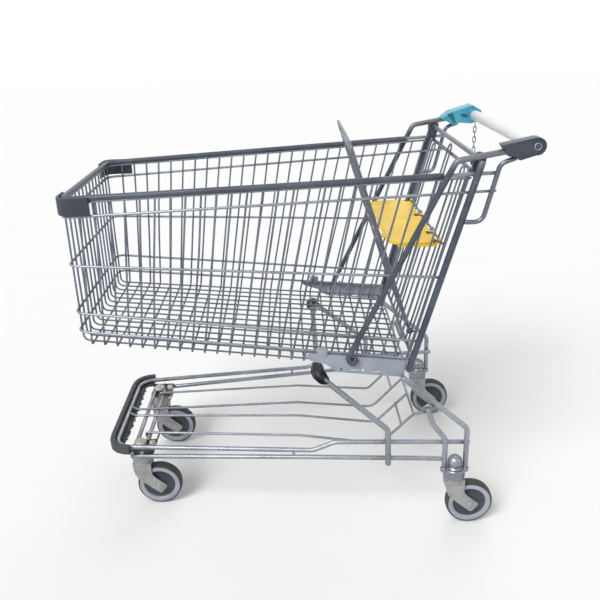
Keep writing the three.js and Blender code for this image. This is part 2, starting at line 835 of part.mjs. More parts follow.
for (const [name, side] of Object.entries(sides)) add(`side_plate_${name}`, sidePlateBody(side), 'plate');

// Base frame: a tube bent round the front, a lower tube on each side and spacer studs
function baseUpperHalf(x) {
  if (x < baseJogEnd) return baseHalf(x);
  const rearHalf = castorRearHalf - rearTubeRadius - baseTubeRadius + 3 * seatGap;
  return mix(baseHalf(baseJogEnd), rearHalf, (x - baseJogEnd) / (baseRearEnd - baseJogEnd));
}

const lowTubeRear = castorRearX - postSpread - rearTubeRadius - seatGap;
function lowTubeHalf(x) {
  return x < 0 ? baseHalf(x) : mix(baseHalf(0), castorRearHalf - 2, x / lowTubeRear);
}

function lowTubeHeight(x) {
  return mix(lowTubeFrontHeight, lowTubeRearHeight, (x - lowTubeFront) / (lowTubeRear - lowTubeFront));
}

function baseSide(side) {
  return [
    [baseRearEnd, side * baseUpperHalf(baseRearEnd), baseRearHeight],
    [baseJogEnd, side * baseUpperHalf(baseJogEnd), baseRearHeight - 2],
    [baseJogStart, side * baseHalf(baseJogStart), baseHeight + 4],
    [baseFront, side * baseFrontHalf, baseHeight],
  ];
}
add('base_loop', tube([...baseSide(-1), ...baseSide(1).reverse()], baseTubeRadius, baseCornerBend), 'zinc');

const spacerX = -27;
function lowTube(side) {
  const stud = tube([
    [spacerX, side * lowTubeHalf(spacerX), lowTubeHeight(spacerX)],
    [spacerX, side * lowTubeHalf(spacerX), baseHeight - baseTubeRadius - seatGap],
  ], wireRadius + 1);
  const run = tube([
    [lowTubeFront, side * lowTubeHalf(lowTubeFront), lowTubeHeight(lowTubeFront)],
    [0, side * lowTubeHalf(0), lowTubeHeight(0)],
    [lowTubeRear, side * lowTubeHalf(lowTubeRear), lowTubeHeight(lowTubeRear)],
  ], baseTubeRadius);
  return weld([run, stud]);
}
for (const [name, side] of Object.entries(sides)) add(`base_tube_${name}`, lowTube(side), 'zinc');

// The lower bumper follows the front of the base frame at a fixed distance
function lowBumper() {
  const near = baseTubeRadius + seatGap;
  const far = near + lowBumperWall;
  const rear = lowBumperRear;
  const half = (offset) => baseHalf(rear) + offset;
  const outline = new THREE.Shape();
  const trace = (offset, forward) => {
    const x = baseFront - offset;
    const bend = baseCornerBend + offset;
    const corner = baseFrontHalf + offset;
    const flank = baseHalf(x + bend) + offset;
    const path = [
      [rear, -half(offset)], [x + bend, -flank], [x, -corner], [x, bend - corner],
      [x, corner - bend], [x, corner], [x + bend, flank], [rear, half(offset)],
    ];
    const [start, before, corner1, after1, before2, corner2, after2, end] = forward ? path : path.reverse();
    outline[forward ? 'moveTo' : 'lineTo'](...start);
    outline.lineTo(...before);
    outline.quadraticCurveTo(...corner1, ...after1);
    outline.lineTo(...before2);
    outline.quadraticCurveTo(...corner2, ...after2);
    outline.lineTo(...end);
  };
  trace(far, true);
  trace(near, false);
  const band = new THREE.ExtrudeGeometry(outline, {
    depth: lowBumperHeight, bevelEnabled: false, curveSegments: 5,
  });
  return band.translate(0, 0, baseHeight - lowBumperHeight / 2);
}
add('low_bumper', lowBumper(), 'slate');

// Front support: one tube bent over the tray, with a sleeve on each bend
const supportFootHalf = lowTubeHalf(supportFootX) + baseTubeRadius + supportRadius - seatGap;
const sleeveRadius = supportRadius + runningGap + sleeveWall;
const supportCrossHeight = floorHeight(supportCrossX) - sleeveRadius - supportDrop;
function supportSide(side) {
  return [
    [supportFootX, side * supportFootHalf, supportFootHeight],
    [supportFootX - 2, side * supportFootHalf, supportBendHeight],
    [supportCrossX, side * supportCrossHalf, supportCrossHeight],
  ];
}
const supportRoute = new Route([...supportSide(-1), ...supportSide(1).reverse()], supportBend, 3);
add('front_support', sweep(supportRoute, supportRadius, 8), 'zinc');

// The sleeve takes the corner's own arc, with a short straight lead on both sides
function sleeve(side) {
  const corner = new THREE.Vector3(supportCrossX, side * supportCrossHalf, supportCrossHeight);
  const near = supportRoute.stops.filter((p) => p.distanceTo(corner) < supportBend * 1.2);
  const lead = (from, toward) => {
    const ahead = toward.clone().sub(from).normalize();
    return from.clone().addScaledVector(ahead, sleeveReach);
  };
  const foot = new THREE.Vector3(supportFootX - 2, side * supportFootHalf, supportBendHeight);
  const middle = new THREE.Vector3(supportCrossX, 0, supportCrossHeight);
  const ordered = side < 0 ? near : [...near].reverse();
  const points = [lead(ordered[0], foot), ...ordered, lead(ordered[ordered.length - 1], middle)];
  return sweep(new Route(points.map((p) => p.toArray()), 0), sleeveRadius, 8, supportRadius + runningGap);
}
for (const [name, side] of Object.entries(sides)) add(`sleeve_${name}`, sleeve(side), 'black');

// Rear posts and braces over the rear castors
function rearPost(side) {
  const x = castorRearX - postSpread;
  const y = side * castorRearHalf;
  return tube([
    [x, y, housingTop + seatGap], [x, y, 252], [x - 34, side * (castorRearHalf - 3), 296],
    [x - 49, side * (castorRearHalf - 5), 342],
  ], rearTubeRadius, 30);
}

function rearBrace(side) {
  const x = castorRearX + postSpread;
  const y = side * castorRearHalf;
  const topY = side * (platePlane + plateThickness + rearTubeRadius);
  return tube([
    [x, y, housingTop + seatGap], [x - 1, y, 283],
    [plateRear - 7, topY, plateTopAt(plateRear) - braceDrop],
  ], rearTubeRadius, 24);
}
for (const [name, side] of Object.entries(sides)) {
  add(`rear_post_${name}`, rearPost(side), 'zinc');
  add(`rear_brace_${name}`, rearBrace(side), 'zinc');
}

// Castor housings: under the rear posts, and under a plate between the base tubes at the front
const boreRadius = kingPinRadius + runningGap;
const boreTop = castorFace + kingPinLength + runningGap;
const housingLow = castorFace + seatGap;
function housingProfile(radius, shoulder, top) {
  return [
    [0, boreTop], [boreRadius, boreTop], [boreRadius, housingLow], [radius, housingLow], [radius, shoulder],
    [domeRadius, shoulder], [domeRadius, top - 10], [domeRadius * 0.7, top - 2], [0, top],
  ];
}

function rearHousing(side) {
  const profile = housingProfile(forkHeadRadius + 1, housingTop, housingTop + 34);
  return upright(profile, 16, castorRearX, side * castorRearHalf);
}

function frontHousing(side) {
  const x = castorFrontX;
  const edge = (at) => side * (baseHalf(at) - baseTubeRadius + 4 * seatGap);
  const low = x - 20;
  const high = x + 36;
  const mount = slab([
    [low, side * frontPlateInner], [low, edge(low)], [high, edge(high)], [high, side * frontPlateInner],
  ], frontPlateBottom, frontPlateTop);
  const barrel = upright(housingProfile(forkHeadRadius + 1, frontPlateBottom + 1, frontPlateTop + 6), 16, x,
    side * castorFrontHalf);
  return weld([mount, barrel]);
}
for (const [name, side] of Object.entries(sides)) {
  add(`castor_housing_rear_${name}`, rearHousing(side), 'zinc');
  add(`castor_plate_front_${name}`, frontHousing(side), 'zinc');
}

// One castor: fork, bolt, wheel and tyre, trailing to the rear
function fork(x, y) {
  const axisX = x + castorTrail;
  const armIn = hubHalf + 1.2;
  const armOut = armIn + forkArmThickness;
  const outline = new THREE.Shape();
  outline.moveTo(x - 25, forkTop - 2);
  outline.lineTo(x - 21, forkTop - 36);
  outline.absarc(axisX, tyreApothem, forkArmWidth, 1.2 * Math.PI, 2.25 * Math.PI, false);
  outline.lineTo(x + 20, forkTop - 36);
  outline.lineTo(x + 25, forkTop - 24);
  outline.lineTo(x + 25, forkTop - 2);
  const bolt = () => hole(axisX, tyreApothem, wheelBoltRadius + seatGap);
  const head = upright([
    [0, forkTop - forkHeadHeight], [forkHeadRadius, forkTop - forkHeadHeight], [forkHeadRadius, forkTop],
    [kingPinRadius, forkTop], [kingPinRadius, forkTop + kingPinLength], [0, forkTop + kingPinLength],
  ], 16, x, y);
  return weld([
    head,
    plateXZ(outline.clone(), y + armIn, y + armOut, [bolt()]),
    plateXZ(outline.clone(), y - armOut, y - armIn, [bolt()]),
  ]);
}

function wheelBolt(x, y) {
  const armOut = hubHalf + 1.2 + forkArmThickness + seatGap;
  const headRadius = wheelBoltRadius + 4;
  return turned([
    [0, -armOut - 4], [headRadius, -armOut - 4], [headRadius, -armOut], [wheelBoltRadius, -armOut],
    [wheelBoltRadius, armOut], [headRadius, armOut], [headRadius, armOut + 4], [0, armOut + 4],
  ], 8).translate(x + castorTrail, y, tyreApothem);
}

function wheel(x, y) {
  const boltBore = wheelBoltRadius + runningGap;
  const web = hubHalf - 8;
  const rim = tyreHalf - 1;
  return turned([
    [boltBore, -hubHalf], [hubRadius, -hubHalf], [hubRadius, -web], [rimInner, -web], [rimRadius, -rim],
    [rimRadius, rim], [rimInner, web], [hubRadius, web], [hubRadius, hubHalf], [boltBore, hubHalf],
    [boltBore, -hubHalf],
  ], wheelSides).rotateY(Math.PI / wheelSides).translate(x + castorTrail, y, tyreApothem);
}

function tyre(x, y) {
  const seat = rimRadius + seatGap;
  const shoulder = tyreRadius - 4;
  return turned([
    [seat, -tyreHalf], [shoulder, -tyreHalf], [tyreRadius, -tyreHalf + 5], [tyreRadius, tyreHalf - 5],
    [shoulder, tyreHalf], [seat, tyreHalf], [seat, -tyreHalf],
  ], wheelSides).rotateY(Math.PI / wheelSides).translate(x + castorTrail, y, tyreApothem);
}

const castors = {
  front_left: [castorFrontX, -castorFrontHalf],
  front_right: [castorFrontX, castorFrontHalf],
  rear_left: [castorRearX, -castorRearHalf],
  rear_right: [castorRearX, castorRearHalf],
};
for (const [name, [x, y]] of Object.entries(castors)) {
  add(`fork_${name}`, fork(x, y), 'zinc', 0);
  add(`wheel_bolt_${name}`, wheelBolt(x, y), 'zinc', 0);
  add(`wheel_${name}`, wheel(x, y), 'plate', 0);
  add(`tyre_${name}`, tyre(x, y), 'rubber', 0);
}

// Tray: two cross tubes and four long wires that dip, then rise to a rod behind
function trayRack() {
  const pieces = [];
  const crossEnd = frontPlateInner - seatGap;
  const crossZ = trayHeight - trayCrossRadius;
  for (const x of trayCross) {
    pieces.push(tube([[x, -crossEnd, crossZ], [x, crossEnd, crossZ]], trayCrossRadius));
  }
  const trayFront = baseFront + baseTubeRadius + 2 + trayWireRadius;
  const rodHalf = 160;
  const stubInner = 40;
  for (const side of [-1, 1]) {
    const inner = wire([
      [trayFront, side * 17, trayHeight + 1], [-10, side * 38, trayHeight - 4],
      [trayBend[0], side * 44, trayBend[1]], [trayRodEnd[0], side * 46, trayRodEnd[1]],
    ], trayWireRadius, 40);
    const outer = wire([
      [trayCross[1], side * 112, trayHeight], [-10, side * 143, trayHeight - 4],
      [trayBend[0], side * 157, trayBend[1]], [trayRodEnd[0], side * rodHalf, trayRodEnd[1]],
      [trayRodEnd[0] + 2, side * (rodHalf + 65), trayRodEnd[1] + 40],
      [trayRodEnd[0] + 3, side * (castorRearHalf - 17), trayRodEnd[1] + 72],
    ], trayWireRadius, 30);
    const stub = wire([
      [trayStub[0], side * (rodHalf + 2), trayStub[1]], [trayStub[0], side * stubInner, trayStub[1]],
    ], trayWireRadius);
    pieces.push(inner, outer, stub);
  }
  pieces.push(wire([
    [trayRodEnd[0], -rodHalf, trayRodEnd[1]], [trayRodEnd[0], rodHalf, trayRodEnd[1]],
  ], trayWireRadius + 0.5));
  return weld(pieces);
}
add('tray_rack', trayRack(), 'zinc');

export default cart;
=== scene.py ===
import json
import math
import random

import bpy
from mathutils import Matrix, Vector


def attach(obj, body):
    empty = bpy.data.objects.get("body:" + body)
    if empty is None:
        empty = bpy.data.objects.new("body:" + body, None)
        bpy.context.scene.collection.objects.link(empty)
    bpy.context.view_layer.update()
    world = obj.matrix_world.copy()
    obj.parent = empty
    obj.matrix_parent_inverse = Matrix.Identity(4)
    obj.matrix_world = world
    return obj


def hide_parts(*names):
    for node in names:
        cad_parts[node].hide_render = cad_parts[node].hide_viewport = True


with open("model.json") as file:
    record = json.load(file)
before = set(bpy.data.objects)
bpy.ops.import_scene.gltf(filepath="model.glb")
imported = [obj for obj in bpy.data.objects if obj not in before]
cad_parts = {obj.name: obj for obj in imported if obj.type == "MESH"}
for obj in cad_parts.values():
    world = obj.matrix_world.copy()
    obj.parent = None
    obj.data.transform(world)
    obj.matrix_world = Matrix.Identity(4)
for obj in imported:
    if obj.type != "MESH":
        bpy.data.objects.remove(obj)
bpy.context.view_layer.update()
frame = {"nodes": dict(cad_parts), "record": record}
nodes = frame["nodes"]
mm = 0.001
origin = Vector((5.4, 0, 0))
random.seed(11)
sides = {"left": -1, "right": 1}
print("frame loaded:", len(nodes), "nodes")


def placed(name, data):
    piece = bpy.data.objects.new(name, data)
    bpy.context.collection.objects.link(piece)
    return piece


# camera at the photograph's angle
view = {
    "place": (-4.6, -1808, 1258), "yaw": 0.43, "pitch": 21.7, "roll": 1.66,
    "focal": 699, "frameWidth": 600, "sensor": 36,
}


def placeCamera():
    yaw, pitch, roll = (math.radians(view[key]) for key in ("yaw", "pitch", "roll"))
    ahead = Vector((math.sin(yaw) * math.cos(pitch), math.cos(yaw) * math.cos(pitch), -math.sin(pitch)))
    level = Vector((math.cos(yaw), -math.sin(yaw), 0))
    down = ahead.cross(level)
    right = math.cos(roll) * level + math.sin(roll) * down
    up = math.sin(roll) * level - math.cos(roll) * down
    lens = bpy.data.cameras.new("viewer")
    lens.sensor_width = view["sensor"]
    lens.lens = view["sensor"] * view["focal"] / view["frameWidth"]
    camera = placed("viewer", lens)
    turn = Matrix((right, up, -ahead)).transposed().to_4x4()
    camera.matrix_world = Matrix.Translation(Vector(view["place"]) * mm) @ turn
    bpy.context.scene.camera = camera


placeCamera()
bpy.context.scene.view_settings.view_transform = "Standard"


# shader maths: a wrapped socket, so that masks read as plain expressions
class Wire:
    def __init__(self, sheet, socket):
        self.sheet = sheet
        self.socket = socket

    def maths(self, operation, first, second):
        return self.sheet.node("ShaderNodeMath", {"operation": operation}, {0: first, 1: second})

    def __add__(self, other):
        return self.maths("ADD", self, other)

    def __radd__(self, other):
        return self.maths("ADD", other, self)

    def __sub__(self, other):
        return self.maths("SUBTRACT", self, other)

    def __rsub__(self, other):
        return self.maths("SUBTRACT", other, self)

    def __mul__(self, other):
        return self.maths("MULTIPLY", self, other)

    def __rmul__(self, other):
        return self.maths("MULTIPLY", other, self)

    def over(self, low, high):
        settings = {"interpolation_type": "SMOOTHSTEP"}
        return self.sheet.node("ShaderNodeMapRange", settings, {0: self, 1: low, 2: high, 3: 0.0, 4: 1.0})


class Sheet:
    def __init__(self, name):
        self.material = bpy.data.materials.new(name)
        self.material.use_nodes = True
        self.tree = self.material.node_tree
        self.skin = self.tree.nodes["Principled BSDF"]
        self.place = self.node("ShaderNodeTexCoord", {}, {}, "Object")

    def node(self, kind, settings, values, output=0):
        made = self.tree.nodes.new(kind)
        for key, value in settings.items():
            setattr(made, key, value)
        for key, value in values.items():
            self.feed(made.inputs[key], value)
        return Wire(self, made.outputs[output])

    def feed(self, socket, value):
        if isinstance(value, Wire):
            self.tree.links.new(value.socket, socket)
        else:
            socket.default_value = value

    def noise(self, scale, detail=3.0, roughness=0.55):
        return self.node("ShaderNodeTexNoise", {}, {
            "Vector": self.place, "Scale": scale, "Detail": detail, "Roughness": roughness})

    def stretched(self, scale, along):
        turned = self.node("ShaderNodeMapping", {}, {"Vector": self.place, "Scale": along})
        return self.node("ShaderNodeTexNoise", {}, {"Vector": turned, "Scale": scale, "Detail": 4.0})

    def cells(self, scale):
        return self.node("ShaderNodeTexVoronoi", {}, {"Vector": self.place, "Scale": scale}, "Color")

    def mix(self, share, first, second):
        settings = {"data_type": "RGBA"}
        return self.node("ShaderNodeMix", settings, {0: share, 6: first, 7: second}, 2)

    def axis(self, index):
        return self.node("ShaderNodeSeparateXYZ", {}, {0: self.place}, index)

    def grey(self, colour):
        return self.node("ShaderNodeRGBToBW", {}, {0: colour})


def tone(red, green, blue):
    linear = [((c / 255 + 0.055) / 1.055) ** 2.4 for c in (red, green, blue)]
    return (*linear, 1.0)


# what a finish has unless its own look says otherwise
plainLook = {
    "mottle": 9.0, "mottleRange": (0.3, 0.72), "grain": 700.0, "grainDepth": 0.4, "bump": 0.12,
    "metallic": 0.0, "scuff": 60.0, "scuffStretch": (1.0, 1.0, 6.0), "scuffRange": (0.6, 0.72),
    "scuffRough": 0.1, "scuffPatch": 14.0, "scuffPatchRange": (0.45, 0.65), "roughSpread": 0.25,
    "grimeScale": 24.0, "grimeRange": (0.42, 0.7), "grimeRough": 0.3, "grimeBehind": 0.25,
}


def makeFinish(name, own):
    look = {**plainLook, **own}
    base, dark, light = (tone(*shade) for shade in look["tones"])
    sheet = Sheet(name)
    skin = sheet.skin
    cloud = sheet.noise(look["mottle"], 5.0, 0.6)
    grain = sheet.noise(look["grain"], 2.0)
    colour = sheet.mix(cloud.over(*look["mottleRange"]), dark, base)
    if "spangle" in look:
        flakes = sheet.grey(sheet.cells(look["spangle"]))
        colour = sheet.mix(flakes * look["spangleShare"], colour, light)
    scuffs = sheet.stretched(look["scuff"], look["scuffStretch"]).over(*look["scuffRange"])
    scuffs = scuffs * sheet.noise(look["scuffPatch"], 2.0).over(*look["scuffPatchRange"])
    colour = sheet.mix(scuffs * look["wear"], colour, light)
    rough = look["roughness"] + (cloud - 0.5) * look["roughSpread"] + scuffs * look["scuffRough"]
    if "grime" in look:
        low = 1 - sheet.axis(2).over(*look["grimeHeights"])
        patches = sheet.noise(look["grimeScale"], 5.0, 0.65).over(*look["grimeRange"])
        soil = low * patches * look["grimeShare"]
        if "grimeFront" in look:
            front = 1 - sheet.axis(0).over(*look["grimeFront"])
            soil = soil * (look["grimeBehind"] + (1 - look["grimeBehind"]) * front)
        colour = sheet.mix(soil, colour, look["grime"])
        rough = rough + soil * look["grimeRough"]
    if "fade" in look:
        high = sheet.axis(2).over(*look["fade"])
        colour = sheet.mix(high, colour, look["fadeTone"])
    sheet.feed(skin.inputs["Base Color"], colour)
    sheet.feed(skin.inputs["Roughness"], rough)
    skin.inputs["Metallic"].default_value = look["metallic"]
    bump = sheet.node("ShaderNodeBump", {}, {
        "Strength": look["bump"], "Distance": 0.001, "Height": grain * look["grainDepth"] + cloud})
    sheet.feed(skin.inputs["Normal"], bump)
    return sheet.material


rustTinge = tone(120, 92, 70)
dust = tone(140, 132, 122)
# tones are a finish's base, its darker mottling and its lighter scuffs
looks = {
    "zinc": {
        "tones": ((150, 156, 166), (112, 118, 128), (205, 209, 214)),
        "roughness": 0.36, "metallic": 0.75, "spangle": 240.0, "spangleShare": 0.3, "wear": 0.4,
        "grime": rustTinge, "grimeHeights": (0.16, 0.3), "grimeShare": 0.55, "grimeFront": (-0.44, -0.34),
    },
    # a darker copy of the zinc finish, as painted shade, for the basket wires, loops, flap, backrest and
    # hinge bar
    "shadedZinc": {
        "tones": ((116, 123, 138), (82, 88, 101), (186, 191, 200)),
        "roughness": 0.36, "metallic": 0.75, "spangle": 260.0, "spangleShare": 0.25, "wear": 0.4,
        "grime": dust, "grimeHeights": (0.45, 0.58), "grimeShare": 0.25,
    },
    "tingedZinc": {
        "tones": ((190, 188, 183), (158, 152, 144), (226, 225, 220)),
        "roughness": 0.48, "metallic": 0.5, "spangle": 420.0, "spangleShare": 0.3, "grain": 520.0,
        "grainDepth": 0.7, "bump": 0.25, "wear": 0.4, "grime": rustTinge, "grimeHeights": (0.17, 0.22),
        "grimeShare": 0.55, "grimeScale": 60.0,
    },
    "castZinc": {
        "tones": ((168, 170, 170), (136, 138, 140), (205, 206, 204)),
        "roughness": 0.55, "metallic": 0.45, "spangle": 420.0, "spangleShare": 0.35, "grain": 520.0,
        "grainDepth": 0.9, "bump": 0.3, "wear": 0.3, "grime": rustTinge, "grimeHeights": (0.1, 0.25),
        "grimeShare": 0.4,
    },
    "chainSteel": {
        "tones": ((96, 98, 102), (62, 64, 68), (160, 162, 165)),
        "roughness": 0.35, "metallic": 0.6, "wear": 0.4, "mottle": 60.0,
    },
    "brownShade": {
        "tones": ((74, 56, 36), (44, 34, 24), (120, 96, 60)),
        "roughness": 0.6, "wear": 0.3, "mottle": 60.0,
    },
    "slateSteel": {
        "tones": ((86, 93, 106), (64, 70, 83), (150, 156, 166)),
        "roughness": 0.4, "metallic": 0.45, "wear": 0.5, "mottle": 14.0,
        "fade": (0.945, 0.965), "fadeTone": tone(116, 119, 126),
    },
    "slateCoat": {
        "tones": ((84, 91, 104), (66, 72, 85), (150, 156, 164)),
        "roughness": 0.42, "metallic": 0.1, "wear": 0.4, "mottle": 14.0,
    },
    "slatePlastic": {
        "tones": ((62, 68, 82), (48, 53, 66), (118, 124, 136)),
        "roughness": 0.48, "wear": 0.35, "grain": 900.0, "bump": 0.15, "mottle": 18.0,
    },
    "bumperPlastic": {
        "tones": ((60, 63, 72), (44, 47, 55), (112, 114, 120)),
        "roughness": 0.55, "wear": 0.45, "grain": 700.0, "bump": 0.2, "mottle": 30.0,
        "grime": dust, "grimeHeights": (0.19, 0.23), "grimeShare": 0.3,
    },
    "bumperShade": {
        "tones": ((54, 55, 60), (36, 37, 41), (110, 108, 104)),
        "roughness": 0.65, "wear": 0.5, "grain": 600.0, "bump": 0.25, "mottle": 50.0,
        "grime": dust, "grimeHeights": (0.18, 0.21), "grimeShare": 0.3,
    },
    "greyPlastic": {
        "tones": ((158, 166, 178), (140, 148, 160), (188, 194, 203)),
        "roughness": 0.45, "wear": 0.3, "grain": 900.0, "bump": 0.1, "mottle": 16.0,
        "grime": dust, "grimeHeights": (0.43, 0.47), "grimeShare": 0.3,
    },
    "yellowPlastic": {
        "tones": ((255, 217, 56), (250, 204, 40), (255, 228, 110)),
        "roughness": 0.42, "wear": 0.25, "grain": 900.0, "bump": 0.1, "mottle": 16.0,
    },
    "tealPlastic": {
        "tones": ((70, 168, 190), (48, 142, 170), (140, 208, 220)),
        "roughness": 0.34, "wear": 0.3, "grain": 900.0, "bump": 0.08, "mottle": 20.0,
    },
    # dark teal as painted shade, standing in for the lock's slot opening and its recess
    "tealPaintedShade": {
        "tones": ((34, 104, 128), (22, 84, 108), (70, 140, 160)),
        "roughness": 0.45, "wear": 0.2, "grain": 900.0, "bump": 0.08, "mottle": 20.0,
    },
    "whitePlastic": {
        "tones": ((236, 237, 237), (226, 227, 228), (246, 246, 246)),
        "roughness": 0.5, "wear": 0.2, "grain": 800.0, "bump": 0.08, "mottle": 8.0,
    },
    "blackPlastic": {
        "tones": ((44, 47, 53), (30, 32, 37), (92, 96, 102)),
        "roughness": 0.5, "wear": 0.35, "grain": 800.0, "bump": 0.2, "mottle": 40.0,
    },
    "tyreRubber": {
        "tones": ((74, 72, 73), (58, 57, 59), (112, 110, 108)),
        "roughness": 0.8, "wear": 0.4, "grain": 500.0, "grainDepth": 0.8, "bump": 0.3, "mottle": 30.0,
        "grime": dust, "grimeHeights": (0.0, 0.12), "grimeShare": 0.35,
    },
    "hubPlastic": {
        "tones": ((62, 66, 78), (48, 51, 62), (108, 112, 122)),
        "roughness": 0.5, "wear": 0.35, "grain": 800.0, "bump": 0.15, "mottle": 26.0,
        "grime": dust, "grimeHeights": (0.0, 0.13), "grimeShare": 0.2,
    },
    "rimPlastic": {
        "tones": ((166, 172, 184), (146, 152, 164), (196, 200, 208)),
        "roughness": 0.46, "wear": 0.35, "grain": 800.0, "bump": 0.12, "mottle": 26.0,
        "grime": dust, "grimeHeights": (0.0, 0.13), "grimeShare": 0.3,
    },
}
finishes = {name: makeFinish(name, look) for name, look in looks.items()}

# the record's slots, each with the finish of its bare nodes first
slotFinishes = {
    "galvanised_steel": ("zinc", "shadedZinc", "castZinc", "tingedZinc", "chainSteel"),
    "slate_coating": ("slateCoat", "slateSteel"),
    "slate_plastic": ("slatePlastic", "bumperPlastic", "bumperShade"),
    "grey_plastic": ("greyPlastic",), "white_plastic": ("whitePlastic",), "black_plastic": ("blackPlastic",),
    "yellow_plastic": ("yellowPlastic", "brownShade"), "teal_plastic": ("tealPlastic", "tealPaintedShade"),
    "wheel_plastic": ("hubPlastic", "rimPlastic"), "tyre_rubber": ("tyreRubber",),
}
print("finishes made:", len(finishes))


# floor, backdrop and lamps
studio = {
    "ambient": 0.44, "backdrop": 1.0, "floorSize": 30, "floorDrop": 0.0005,
    "floorTones": ((0.94, 0.94, 0.94, 1), (0.96, 0.96, 0.96, 1)), "floorRoughness": 0.9, "floorSpecular": 0.1,
    "suns": (("keySun", 2.2, 30, (42, -18, -20)), ("rimSun", 0.5, 40, (-50, 20, 0))),
}


def lightWorld():
    world = bpy.data.worlds.new("studio")
    bpy.context.scene.world = world
    world.use_nodes = True
    tree = world.node_tree
    rays = tree.nodes.new("ShaderNodeLightPath")
    seen = rays.outputs["Is Camera Ray"]
    for kind in ("Is Glossy Ray", "Is Transmission Ray"):
        either = tree.nodes.new("ShaderNodeMath")
        either.operation = "MAXIMUM"
        tree.links.new(seen, either.inputs[0])
        tree.links.new(rays.outputs[kind], either.inputs[1])
        seen = either.outputs[0]
    level = tree.nodes.new("ShaderNodeMapRange")
    level.inputs["To Min"].default_value = studio["ambient"]
    level.inputs["To Max"].default_value = studio["backdrop"]
    tree.links.new(seen, level.inputs["Value"])
    sky = tree.nodes["Background"]
    sky.inputs["Color"].default_value = (1, 1, 1, 1)
    tree.links.new(level.outputs[0], sky.inputs["Strength"])


def addSun(name, strength, spread, tilt):
    lamp = bpy.data.lights.new(name, "SUN")
    lamp.energy = strength
    lamp.angle = math.radians(spread)
    placed(name, lamp).rotation_euler = [math.radians(a) for a in tilt]


def layFloor():
    bpy.ops.object.select_all(action="DESELECT")
    bpy.ops.mesh.primitive_plane_add(size=studio["floorSize"], location=(0, 0, -studio["floorDrop"]))
    floor = bpy.context.object
    floor.name = "floor"
    sheet = Sheet("paleFloor")
    sheet.feed(sheet.skin.inputs["Base Color"], sheet.mix(sheet.noise(3.0), *studio["floorTones"]))
    sheet.skin.inputs["Roughness"].default_value = studio["floorRoughness"]
    sheet.skin.inputs["Specular IOR Level"].default_value = studio["floorSpecular"]
    floor.data.materials.append(sheet.material)


lightWorld()
for sun in studio["suns"]:
    addSun(*sun)
layFloor()
print("studio ready")


# making tools
def mix(low, high, share):
    return low + (high - low) * share


def pickOnly(piece):
    bpy.ops.object.select_all(action="DESELECT")
    piece.select_set(True)
    bpy.context.view_layer.objects.active = piece


def openAll(piece):
    pickOnly(piece)
    bpy.ops.object.mode_set(mode="EDIT")
    bpy.ops.mesh.select_all(action="SELECT")


def closeOutward():
    bpy.ops.mesh.select_all(action="SELECT")
    bpy.ops.mesh.normals_make_consistent(inside=False)
    bpy.ops.object.mode_set(mode="OBJECT")


def turns(count, start=0):
    return [2 * math.pi * (k + start) / count for k in range(count)]


def sided(line, side):
    return [Vector((x, side * y, z)) for x, y, z in line]


def acrossBoth(line):  # from the left end of a line to its right end
    return sided(line, -1) + sided(line, 1)[::-1]


def bothEnds(half, *middle):  # a profile that is the same at either end
    return [*half, *middle, *((radius, -reach) for radius, reach in reversed(half))]


def bendRoute(corners, bend, steps):
    points = [Vector(corner) for corner in corners]
    route = [points[0]]
    for before, here, after in zip(points, points[1:], points[2:]):
        back = before - here
        ahead = after - here
        half = back.angle(ahead) / 2
        if half > 1.565:  # as good as straight
            route.append(here)
            continue
        reach = min(bend / math.tan(half), 0.48 * min(back.length, ahead.length))
        radius = reach * math.tan(half)
        back.normalize()
        ahead.normalize()
        middle = (back + ahead).normalized()
        across = (ahead - back).normalized()
        centre = here + middle * (radius / math.sin(half))
        sweep = math.pi / 2 - half
        for k in range(steps + 1):
            turn = sweep * (2 * k / steps - 1)
            route.append(centre - middle * (radius * math.cos(turn)) + across * (radius * math.sin(turn)))
    route.append(points[-1])
    return route


def roundEnd(end, inside, radius):
    out = (end - inside).normalized()
    steps = ((0.55, 1.0), (0.25, 0.9), (0.08, 0.66), (0.0, 0.3))
    return [(end - out * (radius * back), swell) for back, swell in steps]


def drawTubes(name, routes, radius, facets, closed=False):
    curve = bpy.data.curves.new(name, "CURVE")
    curve.dimensions = "3D"
    curve.bevel_depth = radius * mm
    curve.bevel_resolution = (facets - 4) // 2
    curve.use_fill_caps = True
    for route in routes:
        stations = [(place, 1.0) for place in route]
        if not closed:
            head = roundEnd(route[0], route[1], radius)[::-1]
            tail = roundEnd(route[-1], route[-2], radius)
            stations = head + stations[1:-1] + tail
        spline = curve.splines.new("POLY")
        spline.points.add(len(stations) - 1)
        spline.use_cyclic_u = closed
        for point, (place, swell) in zip(spline.points, stations):
            point.co = (*((place + origin) * mm), 1)
            point.radius = swell
    pickOnly(placed(name, curve))
    bpy.ops.object.convert(target="MESH")
    bpy.ops.object.shade_smooth_by_angle(angle=math.radians(50))
    return bpy.context.object


def spinProfile(name, profile, centre, axis, steps, ring=False):
    middle = Vector(centre) + origin
    along = {"Y": Vector((0, 1, 0)), "Z": Vector((0, 0, 1))}[axis]
    corners = [(middle + Vector((radius, 0, 0)) + along * reach) * mm for radius, reach in profile]
    edges = [(i, i + 1) for i in range(len(corners) - 1)]
    if ring:
        edges.append((len(corners) - 1, 0))
    mesh = bpy.data.meshes.new(name)
    mesh.from_pydata(corners, edges, [])
    piece = placed(name, mesh)
    openAll(piece)
    bpy.ops.mesh.spin(steps=steps, angle=2 * math.pi, center=middle * mm, axis=along)
    bpy.ops.mesh.select_all(action="SELECT")
    bpy.ops.mesh.remove_doubles(threshold=0.000005)
    closeOutward()
    bpy.ops.object.shade_smooth_by_angle(angle=math.radians(35))
    return piece


def rounded(piece, width, segments, limit=30):
    pickOnly(piece)
    bevel = piece.modifiers.new("edges", "BEVEL")
    bevel.width = width * mm
    bevel.segments = segments
    bevel.limit_method = "ANGLE"
    bevel.angle_limit = math.radians(limit)
    bpy.ops.object.modifier_apply(modifier=bevel.name)
    bpy.ops.object.shade_smooth_by_angle(angle=math.radians(40))
    return piece


